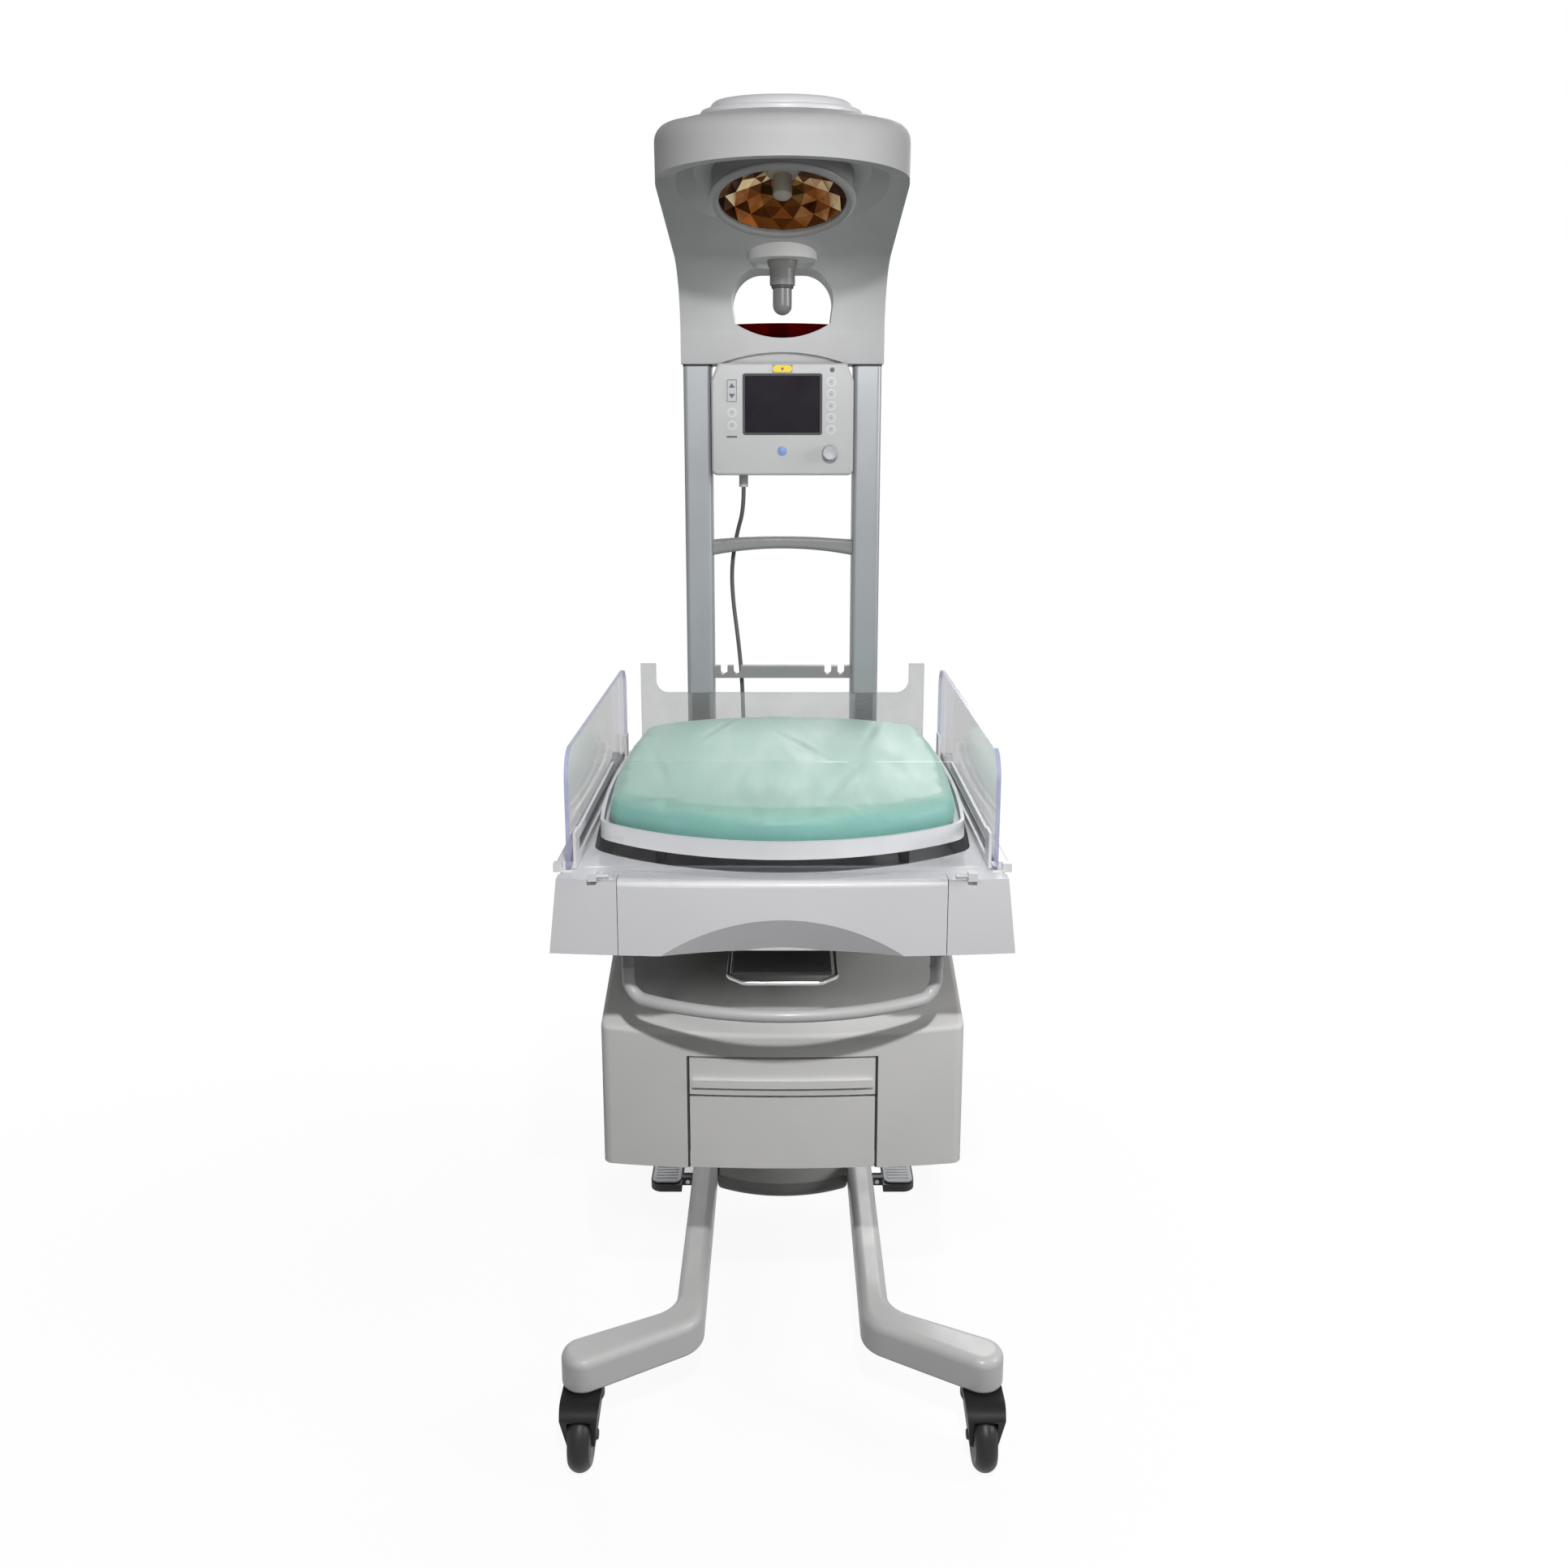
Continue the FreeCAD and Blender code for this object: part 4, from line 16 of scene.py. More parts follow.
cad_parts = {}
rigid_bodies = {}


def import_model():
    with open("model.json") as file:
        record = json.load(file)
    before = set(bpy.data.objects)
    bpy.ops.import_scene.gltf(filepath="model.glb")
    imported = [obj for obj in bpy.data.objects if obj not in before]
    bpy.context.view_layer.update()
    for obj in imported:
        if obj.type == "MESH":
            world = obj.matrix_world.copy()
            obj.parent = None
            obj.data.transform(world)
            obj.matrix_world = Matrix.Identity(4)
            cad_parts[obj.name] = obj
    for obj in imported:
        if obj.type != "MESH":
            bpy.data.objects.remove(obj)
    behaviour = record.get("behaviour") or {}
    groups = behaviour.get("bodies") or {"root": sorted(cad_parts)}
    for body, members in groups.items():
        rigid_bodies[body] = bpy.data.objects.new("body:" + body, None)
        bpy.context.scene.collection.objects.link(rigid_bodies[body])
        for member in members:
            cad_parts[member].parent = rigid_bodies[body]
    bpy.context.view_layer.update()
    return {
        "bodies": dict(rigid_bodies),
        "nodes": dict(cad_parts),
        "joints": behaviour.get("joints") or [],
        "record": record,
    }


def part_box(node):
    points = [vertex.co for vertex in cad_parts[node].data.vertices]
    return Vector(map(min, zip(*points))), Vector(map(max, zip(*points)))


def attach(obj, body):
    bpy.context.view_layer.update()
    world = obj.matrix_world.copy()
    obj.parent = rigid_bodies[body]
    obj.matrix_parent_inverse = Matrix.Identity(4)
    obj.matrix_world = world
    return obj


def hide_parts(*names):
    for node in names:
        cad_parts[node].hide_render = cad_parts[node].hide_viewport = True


LOG = logging.getLogger("warmer")
SIDES = (("left", -1), ("right", 1))
Colour = tuple[float, float, float]
Point = tuple[float, float, float]
Flat = tuple[float, float]
Profile = tuple[Flat, ...]
Socket = bpy.types.NodeSocket
Shape = bmesh.types.BMesh


class Body(Enum):
    """Bodies that the small pieces ride on; those of the casters are named by their corner."""

    CARRIAGE = "carriage"
    DECK = "deck"
    LAMP = "lamp"
    KNOB = "knob"
    ROCKER = "rocker"
    ALARM = "alarm_button"
    LEFT_PEDAL = "left_pedal"
    RIGHT_PEDAL = "right_pedal"


class Axis(Enum):
    """Direction that a round piece is turned about."""

    X = "X"
    Y = "Y"
    Z = "Z"


class Grain(Enum):
    """How the fine surface of a finish runs, as a stretch along X, Y and Z."""

    EVEN = (1.0, 1.0, 1.0)
    UPRIGHT = (1.0, 1.0, 0.03)
    LENGTHWISE = (1.0, 0.04, 1.0)


# Finishes


def dulled(colour: Colour, share: float) -> Colour:
    """A colour with each part taken down to a share."""
    return tuple(share * part for part in colour)


class NodeSheet:
    """The node tree of a material or sky, with short calls to add and join nodes."""

    CLOUDED = (0.3, 0.7)
    BUMP_STRENGTH = 0.6

    def __init__(self, owner: bpy.types.Material | bpy.types.World,
                 output: str = "ShaderNodeOutputMaterial") -> None:
        """Start an empty tree with its output node.

        Args:
            owner: the material or world.
            output: Blender's name of the output node's type.
        """
        owner.use_nodes = True
        self.owner = owner
        self.tree = owner.node_tree
        self.tree.nodes.clear()
        self.output = self.add(output)

    def add(self, kind: str, **settings: object) -> bpy.types.Node:
        """Add a node.

        Args:
            kind: Blender's name of the node type.
            settings: properties of the node to set.

        Returns:
            The new node.
        """
        node = self.tree.nodes.new(kind)
        for key, setting in settings.items():
            setattr(node, key, setting)
        return node

    def join(self, source: Socket, target: Socket) -> None:
        """Link one socket to another."""
        self.tree.links.new(source, target)

    def show(self, shader: Socket) -> bpy.types.Material | bpy.types.World:
        """Join a shader to the output and give the tree's owner."""
        self.join(shader, self.output.inputs["Surface"])
        return self.owner

    def part(self, vector: Socket, axis: Axis) -> Socket:
        """One of a vector's three parts."""
        node = self.add("ShaderNodeSeparateXYZ")
        self.join(vector, node.inputs["Vector"])
        return node.outputs[axis.value]

    def stretched(self, place: Socket, scale: Point) -> Socket:
        """The place that a pattern is laid by, stretched along the axes."""
        node = self.add("ShaderNodeMapping")
        node.inputs["Scale"].default_value = scale
        self.join(place, node.inputs["Vector"])
        return node.outputs["Vector"]

    def noise(self, place: Socket, size: float, detail: float) -> Socket:
        """Add cloudy noise.

        Args:
            place: the socket that gives the place.
            size: width of one cloud in metres.
            detail: how many finer layers it has.

        Returns:
            The noise's value socket.
        """
        node = self.add("ShaderNodeTexNoise")
        node.inputs["Scale"].default_value = 1.0 / size
        node.inputs["Detail"].default_value = detail
        self.join(place, node.inputs["Vector"])
        return node.outputs["Fac"]

    def ramp(self, source: Socket, places: tuple[float, ...], *colours: Colour) -> Socket:
        """Turn a value into a colour.

        Args:
            source: the value's socket.
            places: values along the ramp.
            colours: the colour at each of them.

        Returns:
            The colour socket.
        """
        node = self.add("ShaderNodeValToRGB")
        band = node.color_ramp
        while len(band.elements) < len(colours):
            band.elements.new(0.5)
        for element, place, colour in zip(band.elements, places, colours):
            element.position = place
            element.color = (*colour, 1.0)
        self.join(source, node.inputs["Fac"])
        return node.outputs["Color"]

    def spread(self, source: Socket, ends: Flat, start: Flat = CLOUDED) -> Socket:
        """Map a value from one range to another.

        Args:
            source: the value's socket.
            ends: what the start's two ends turn into.
            start: the range that the value comes in.

        Returns:
            The mapped value's socket.
        """
        node = self.add("ShaderNodeMapRange")
        for name, amount in zip(("From Min", "From Max", "To Min", "To Max"), (*start, *ends)):
            node.inputs[name].default_value = amount
        self.join(source, node.inputs["Value"])
        return node.outputs["Result"]

    def math(self, operation: str, first: Socket, second: Socket | float) -> Socket:
        """Work out a value from two.

        Args:
            operation: Blender's name of the operation.
            first: the first value's socket.
            second: the second value's socket, or a number.

        Returns:
            The result's socket.
        """
        node = self.add("ShaderNodeMath", operation=operation)
        self.join(first, node.inputs[0])
        if isinstance(second, float):
            node.inputs[1].default_value = second
        else:
            self.join(second, node.inputs[1])
        return node.outputs["Value"]

    def bump(self, height: Socket, depth: float) -> Socket:
        """Add a bump of that depth in metres and give its normal socket."""
        node = self.add("ShaderNodeBump")
        node.inputs["Strength"].default_value = self.BUMP_STRENGTH
        node.inputs["Distance"].default_value = depth
        self.join(height, node.inputs["Height"])
        return node.outputs["Normal"]

    def blend(self, first: Socket, second: Socket, share: Socket) -> Socket:
        """Mix two colours; a share of 0 gives the first."""
        node = self.add("ShaderNodeMix", data_type="RGBA")
        for name, source in (("Factor", share), ("A", first), ("B", second)):
            self.join(source, node.inputs[name])
        return node.outputs["Result"]

    def layer(self, first: Socket, second: Socket, share: Socket) -> Socket:
        """Mix two shaders; a share of 0 gives the first."""
        node = self.add("ShaderNodeMixShader")
        for place, source in enumerate((share, first, second)):
            self.join(source, node.inputs[place])
        return node.outputs["Shader"]

    def principled(self, colour: Socket, **amounts: float) -> bpy.types.Node:
        """Add the general shader.

        Args:
            colour: socket of the base colour.
            amounts: numbers for other inputs, with _ for a space in their names.

        Returns:
            The shader's node.
        """
        node = self.add("ShaderNodeBsdfPrincipled")
        self.join(colour, node.inputs["Base Color"])
        for name, amount in amounts.items():
            node.inputs[name.replace("_", " ")].default_value = amount
        return node


@dataclass(frozen=True)
class Finish:
    """A moulded, painted or metal surface with clouded colour, uneven gloss and a fine grain."""

    name: str
    colour: Colour
    second: Colour
    gloss: Flat = (0.38, 0.5)
    cloud: float = 0.16
    grain: float = 0.0012
    depth: float = 0.00012
    metal: float = 0.0
    coat: float = 0.0
    run: Grain = Grain.EVEN
    dust: Colour | None = None
    dust_top: float = 0.1
    sheen: float = 0.5

    COLOUR_DETAIL = 4.0
    GRAIN_DETAIL = 3.0
    GLOSS_PATCH = 0.25
    COAT_GLOSS = 0.12
    DUST_MOST = 0.55
    DUST_PATCH = 0.012
    DUST_DETAIL = 5.0
    DUST_DULL = 0.8

    def material(self) -> bpy.types.Material:
        """Build the material."""
        sheet = NodeSheet(bpy.data.materials.new(self.name))
        place = sheet.add("ShaderNodeTexCoord").outputs["Object"]
        along = sheet.stretched(place, self.run.value)
        cloud = sheet.noise(place, self.cloud, self.COLOUR_DETAIL)
        colour = sheet.ramp(cloud, sheet.CLOUDED, self.colour, self.second)
        if self.dust is not None:
            colour = self.dusted(sheet, place, colour)
        shader = sheet.principled(colour, Metallic=self.metal, Coat_Weight=self.coat,
                                  Coat_Roughness=self.COAT_GLOSS, Specular_IOR_Level=self.sheen)
        fine = sheet.noise(along, self.grain, self.GRAIN_DETAIL)
        broad = sheet.noise(along, self.cloud * self.GLOSS_PATCH, self.GRAIN_DETAIL)
        sheet.join(sheet.spread(broad, self.gloss), shader.inputs["Roughness"])
        sheet.join(sheet.bump(fine, self.depth), shader.inputs["Normal"])
        return sheet.show(shader.outputs["BSDF"])

    def dusted(self, sheet: NodeSheet, place: Socket, colour: Socket) -> Socket:
        """Lay floor dust over the lowest part of a piece.

        Args:
            sheet: the material's nodes.
            place: socket of the object coordinates.
            colour: socket of the clean colour.

        Returns:
            The socket of the dusted colour.
        """
        height = sheet.spread(sheet.part(place, Axis.Z), (self.DUST_MOST, 0.0), (0.0, self.dust_top))
        patch = sheet.noise(place, self.DUST_PATCH, self.DUST_DETAIL)
        layer = sheet.ramp(patch, sheet.CLOUDED, self.dust, dulled(self.dust, self.DUST_DULL))
        return sheet.blend(colour, layer, sheet.math("MULTIPLY", height, patch))


@dataclass(frozen=True)
class ClearFinish:
    """Clear acrylic sheet with tinted sawn edges, faint wipe marks and, where given, a milky haze."""

    name: str
    across: Axis
    edge: Colour = (0.42, 0.45, 0.72)
    tint: Colour = (0.955, 0.965, 0.985)
    edge_share: float = 0.75
    shine: float = 0.8
    haze: float = 0.0
    haze_colour: Colour = (0.70, 0.70, 0.70)

    FACE_TO_EDGE = (0.9, 0.4)
    SMEAR_SIZE = 0.11
    SMEAR_DETAIL = 4.0
    SMEARED = (0.35, 0.65)
    SMEAR_DULL = 0.985
    FACE_GLOSS = (0.02, 0.09)
    ACRYLIC_IOR = 1.49
    CLOUD_DETAIL = 3.0
    EDGE_PATCH = 0.02
    EDGE_DULL = 0.8
    EDGE_GLOSS = 0.16
    HAZE_PATCH = 0.06
    HAZE_DULL = 0.9
    HAZE_GLOSS = 0.4
    HAZE_ENDS = (0.85, 1.15)

    def material(self) -> bpy.types.Material:
        """Build the material; the edges are the faces that don't look across the sheet."""
        sheet = NodeSheet(bpy.data.materials.new(self.name))
        coords = sheet.add("ShaderNodeTexCoord")
        place = coords.outputs["Object"]
        facing = sheet.add("ShaderNodeMath", operation="ABSOLUTE")
        sheet.join(sheet.part(coords.outputs["Normal"], self.across), facing.inputs[0])
        rim = sheet.spread(facing.outputs["Value"], (0.0, self.edge_share), self.FACE_TO_EDGE)
        smear = sheet.noise(place, self.SMEAR_SIZE, self.SMEAR_DETAIL)
        through = sheet.add("ShaderNodeBsdfTransparent")
        sheet.join(sheet.ramp(smear, self.SMEARED, self.tint, dulled(self.tint, self.SMEAR_DULL)),
                   through.inputs["Color"])
        gloss = sheet.add("ShaderNodeBsdfGlossy")
        sheet.join(sheet.spread(smear, self.FACE_GLOSS), gloss.inputs["Roughness"])
        mirror = sheet.add("ShaderNodeFresnel")
        mirror.inputs["IOR"].default_value = self.ACRYLIC_IOR
        face = sheet.layer(through.outputs["BSDF"], gloss.outputs["BSDF"],
                           sheet.math("MULTIPLY", mirror.outputs["Fac"], self.shine))
        if self.haze > 0.0:
            cloud = sheet.noise(place, self.HAZE_PATCH, self.CLOUD_DETAIL)
            dull = dulled(self.haze_colour, self.HAZE_DULL)
            milk = sheet.principled(sheet.ramp(cloud, sheet.CLOUDED, self.haze_colour, dull),
                                    Roughness=self.HAZE_GLOSS)
            thin, thick = self.HAZE_ENDS
            share = sheet.spread(cloud, (self.haze * thin, self.haze * thick))
            face = sheet.layer(face, milk.outputs["BSDF"], share)
        grain = sheet.noise(place, self.EDGE_PATCH, self.CLOUD_DETAIL)
        deep = dulled(self.edge, self.EDGE_DULL)
        sawn = sheet.principled(sheet.ramp(grain, sheet.CLOUDED, self.edge, deep), Roughness=self.EDGE_GLOSS)
        return sheet.show(sheet.layer(face, sawn.outputs["BSDF"], rim))


@dataclass(frozen=True)
class CoverFinish:
    """Wipe-clean mattress cover: a coated knit with soft creases, and painted shade that gives its sides a
    deeper colour.
    """

    name: str
    top: Colour
    worn: Colour
    side: Colour

    LENGTHWISE = (1.0, 0.22, 1.0)
    SHADE_SIZE = 0.11
    SHADE_DETAIL = 3.0
    SHADED = (0.32, 0.68)
    SHADED_SIDE_DULL = 0.9
    TOP_TO_SHADED_SIDE = (0.8, 0.5)
    STITCHES = 900.0
    STITCH_SHARE = 0.12
    CREASE_SIZE = 0.028
    CREASE_DETAIL = 2.0
    CREASE_DEPTH = 0.0016
    GLOSS = (0.42, 0.56)
    SHEEN = 0.25
    SHEEN_GLOSS = 0.4

    def material(self) -> bpy.types.Material:
        """Build the material."""
        sheet = NodeSheet(bpy.data.materials.new(self.name))
        coords = sheet.add("ShaderNodeTexCoord")
        along = sheet.stretched(coords.outputs["Object"], self.LENGTHWISE)
        shade = sheet.noise(along, self.SHADE_SIZE, self.SHADE_DETAIL)
        top = sheet.ramp(shade, self.SHADED, self.top, self.worn)
        side = sheet.ramp(shade, sheet.CLOUDED, self.side, dulled(self.side, self.SHADED_SIDE_DULL))
        # Painted shade: faces that turn away from the top blend into the deeper side colour.
        down = sheet.spread(sheet.part(coords.outputs["Normal"], Axis.Z), (0.0, 1.0), self.TOP_TO_SHADED_SIDE)
        shader = sheet.principled(sheet.blend(top, side, down), Sheen_Weight=self.SHEEN,
                                  Sheen_Roughness=self.SHEEN_GLOSS)
        knit = sheet.add("ShaderNodeTexVoronoi")
        knit.inputs["Scale"].default_value = self.STITCHES
        sheet.join(coords.outputs["Object"], knit.inputs["Vector"])
        crease = sheet.noise(along, self.CREASE_SIZE, self.CREASE_DETAIL)
        stitch = sheet.math("MULTIPLY", knit.outputs["Distance"], self.STITCH_SHARE)
        sheet.join(sheet.bump(sheet.math("ADD", stitch, crease), self.CREASE_DEPTH), shader.inputs["Normal"])
        sheet.join(sheet.spread(crease, self.GLOSS), shader.inputs["Roughness"])
        return sheet.show(shader.outputs["BSDF"])


@dataclass(frozen=True)
class MirrorFinish:
    """Gold-coated reflector whose facets carry painted reflections, dark, amber and pale."""

    name: str
    dark: Colour
    middle: Colour
    bright: Colour

    TONES = (0.1, 0.55, 1.0)
    HAZE_SIZE = 0.02
    HAZE_SHARE = 0.25
    GLOSS_PATCH = 0.03
    DETAIL = 3.0
    GLOSS = (0.12, 0.24)

    def material(self) -> bpy.types.Material:
        """Build the material; each facet's painted reflection is stored on the mesh as a value."""
        sheet = NodeSheet(bpy.data.materials.new(self.name))
        tone = sheet.add("ShaderNodeAttribute", attribute_name="painted_reflection_tone")
        place = sheet.add("ShaderNodeTexCoord").outputs["Object"]
        haze = sheet.math("MULTIPLY", sheet.noise(place, self.HAZE_SIZE, self.DETAIL), self.HAZE_SHARE)
        mixed = sheet.math("ADD", tone.outputs["Fac"], haze)
        colour = sheet.ramp(mixed, self.TONES, self.dark, self.middle, self.bright)
        shader = sheet.principled(colour, Metallic=1.0)
        patch = sheet.noise(place, self.GLOSS_PATCH, self.DETAIL)
        sheet.join(sheet.spread(patch, self.GLOSS), shader.inputs["Roughness"])
        return sheet.show(shader.outputs["BSDF"])


class Finishes:
    """Every finish of the warmer, each built once."""

    def __init__(self) -> None:
        """Name the finishes."""
        warm_dust = (0.34, 0.32, 0.30)
        self.listed: dict[str, Finish | ClearFinish | CoverFinish | MirrorFinish] = {}
        for finish in (
            Finish("hood_grey", (0.42, 0.42, 0.425), (0.395, 0.395, 0.40), gloss=(0.5, 0.62), sheen=0.3),
            # Lamp turret: a lighter copy of the hood's grey plastic, painted light.
            Finish("turret_painted_light", (0.60, 0.60, 0.59), (0.55, 0.55, 0.54), gloss=(0.5, 0.62), sheen=0.3),
            Finish("cap_grey", (0.60, 0.60, 0.62), (0.56, 0.56, 0.58), gloss=(0.34, 0.46), coat=0.15),
            Finish("panel_grey", (0.475, 0.475, 0.475), (0.445, 0.445, 0.45), gloss=(0.4, 0.52)),
            Finish("bed_white", (0.74, 0.74, 0.76), (0.70, 0.70, 0.72), gloss=(0.34, 0.48), coat=0.1),
            Finish("deck_white", (0.80, 0.80, 0.81), (0.76, 0.76, 0.775), gloss=(0.38, 0.5)),
            Finish("cabinet_grey", (0.735, 0.73, 0.71), (0.695, 0.69, 0.675), gloss=(0.42, 0.56), sheen=0.2,
                   depth=0.00018),
            Finish("drawer_grey", (0.73, 0.725, 0.705), (0.69, 0.685, 0.67), gloss=(0.4, 0.54),
                   depth=0.00018),
            Finish("leg_paint", (0.66, 0.66, 0.655), (0.62, 0.62, 0.615), gloss=(0.32, 0.46), coat=0.15,
                   dust=warm_dust, dust_top=0.07),
            Finish("pan_paint", (0.34, 0.335, 0.325), (0.30, 0.295, 0.29), gloss=(0.42, 0.56)),
            Finish("shroud_grey", (0.66, 0.655, 0.63), (0.61, 0.605, 0.585), gloss=(0.46, 0.6),
                   depth=0.00018),
            Finish("column_satin", (0.36, 0.375, 0.39), (0.32, 0.335, 0.35), gloss=(0.36, 0.48), metal=0.35,
                   grain=0.0008, run=Grain.UPRIGHT),
            Finish("bar_grey", (0.26, 0.26, 0.255), (0.23, 0.23, 0.225), gloss=(0.4, 0.54)),
            Finish("mast_satin", (0.50, 0.51, 0.53), (0.45, 0.46, 0.485), gloss=(0.34, 0.46), metal=0.7,
                   grain=0.0008, run=Grain.UPRIGHT),
            Finish("brushed_steel", (0.46, 0.46, 0.47), (0.40, 0.40, 0.41), gloss=(0.28, 0.42), metal=1.0,
                   grain=0.0007, run=Grain.LENGTHWISE),
            Finish("bright_wire", (0.78, 0.78, 0.79), (0.72, 0.72, 0.735), gloss=(0.1, 0.2), metal=1.0,
                   depth=0.00003),
            Finish("rail_pale", (0.55, 0.55, 0.545), (0.515, 0.515, 0.515), gloss=(0.32, 0.46), coat=0.15),
            Finish("caster_black", (0.014, 0.014, 0.015), (0.020, 0.020, 0.022), gloss=(0.36, 0.5),
                   sheen=0.22, dust=warm_dust, dust_top=0.06),
            Finish("tread_rubber", (0.020, 0.020, 0.022), (0.030, 0.030, 0.033), gloss=(0.32, 0.5), sheen=0.4,
                   depth=0.0003, dust=warm_dust, dust_top=0.03),
            Finish("hub_grey", (0.045, 0.045, 0.048), (0.062, 0.062, 0.066), gloss=(0.4, 0.56),
                   dust=warm_dust, dust_top=0.06),
            Finish("pedal_black", (0.030, 0.030, 0.034), (0.045, 0.045, 0.05), gloss=(0.4, 0.58)),
            Finish("pedal_pale", (0.66, 0.67, 0.69), (0.58, 0.59, 0.61), gloss=(0.5, 0.66), depth=0.0003),
            # Pull tray: its dark colour is painted shade from the bed above.
            Finish("tray_painted_shade", (0.12, 0.118, 0.112), (0.15, 0.147, 0.14), gloss=(0.46, 0.62), depth=0.00025),
            # Heater ring: a pale part darkened to the shade of the hood's underside, painted shade.
            Finish("ring_painted_shade", (0.25, 0.25, 0.245), (0.22, 0.22, 0.215), gloss=(0.3, 0.42), coat=0.1),
            Finish("can_grey", (0.34, 0.34, 0.335), (0.30, 0.30, 0.295), gloss=(0.36, 0.5)),
            Finish("ceramic", (0.30, 0.28, 0.25), (0.25, 0.235, 0.20), gloss=(0.5, 0.68), depth=0.0003),
            Finish("lamp_grey", (0.17, 0.17, 0.163), (0.15, 0.15, 0.144), gloss=(0.36, 0.48), sheen=0.3),
            Finish("tip_white", (0.125, 0.125, 0.122), (0.11, 0.11, 0.108), gloss=(0.24, 0.36), coat=0.15),
            Finish("lens_red", (0.055, 0.0006, 0.0008), (0.036, 0.0004, 0.0005), gloss=(0.34, 0.46),
                   sheen=0.0),
            Finish("screen_glass", (0.012, 0.010, 0.014), (0.021, 0.018, 0.024), gloss=(0.12, 0.24),
                   sheen=0.08, depth=0.00002),
            Finish("bezel_dark", (0.05, 0.05, 0.055), (0.07, 0.07, 0.076), gloss=(0.42, 0.54), sheen=0.25),
            Finish("knob_grey", (0.50, 0.51, 0.535), (0.44, 0.45, 0.475), gloss=(0.38, 0.52)),
            Finish("alarm_yellow", (0.72, 0.56, 0.075), (0.65, 0.49, 0.055), gloss=(0.42, 0.54), sheen=0.3),
            Finish("rocker_pale", (0.47, 0.48, 0.50), (0.42, 0.43, 0.45), gloss=(0.42, 0.56)),
            Finish("key_pale", (0.58, 0.585, 0.595), (0.54, 0.545, 0.555), gloss=(0.46, 0.6)),
            Finish("key_line", (0.20, 0.21, 0.225), (0.16, 0.17, 0.185), gloss=(0.5, 0.62)),
            Finish("key_blue", (0.22, 0.32, 0.60), (0.17, 0.26, 0.53), gloss=(0.4, 0.52)),
            Finish("mark_dark", (0.08, 0.085, 0.095), (0.11, 0.115, 0.125), gloss=(0.5, 0.62)),
            Finish("gasket_black", (0.035, 0.037, 0.042), (0.05, 0.052, 0.058), gloss=(0.55, 0.7)),
            Finish("lead_sheath", (0.075, 0.076, 0.080), (0.10, 0.101, 0.106), gloss=(0.44, 0.6),
                   grain=0.0009),
            ClearFinish("clear_side", Axis.X, tint=(0.990, 0.990, 0.992), shine=0.56),
            ClearFinish("clear_front", Axis.Y, edge=(0.72, 0.74, 0.84), edge_share=0.06, shine=0.15,
                        tint=(0.985, 0.988, 0.99)),
            ClearFinish("clear_back", Axis.Y, edge=(0.55, 0.56, 0.60), edge_share=0.6, shine=0.5,
                        tint=(0.83, 0.83, 0.83), haze=0.25),
            # Mint cover: the third colour is painted shade on the sides.
            CoverFinish("mint_cover", (0.335, 0.585, 0.49), (0.385, 0.63, 0.54), (0.25, 0.53, 0.47)),
            # Gold facets: dark and amber colours are painted reflections of the surroundings, the pale one a
            # painted highlight.
            MirrorFinish("gold_painted_reflections", (0.012, 0.004, 0.002), (0.20, 0.062, 0.012), (0.68, 0.54, 0.30)),
        ):
            self.listed[finish.name] = finish
        self.made: dict[str, bpy.types.Material] = {}

    def get(self, name: str) -> bpy.types.Material:
        """Give the material of a finish, built on first use."""
        if name not in self.made:
            self.made[name] = self.listed[name].material()
        return self.made[name]


# Meshes


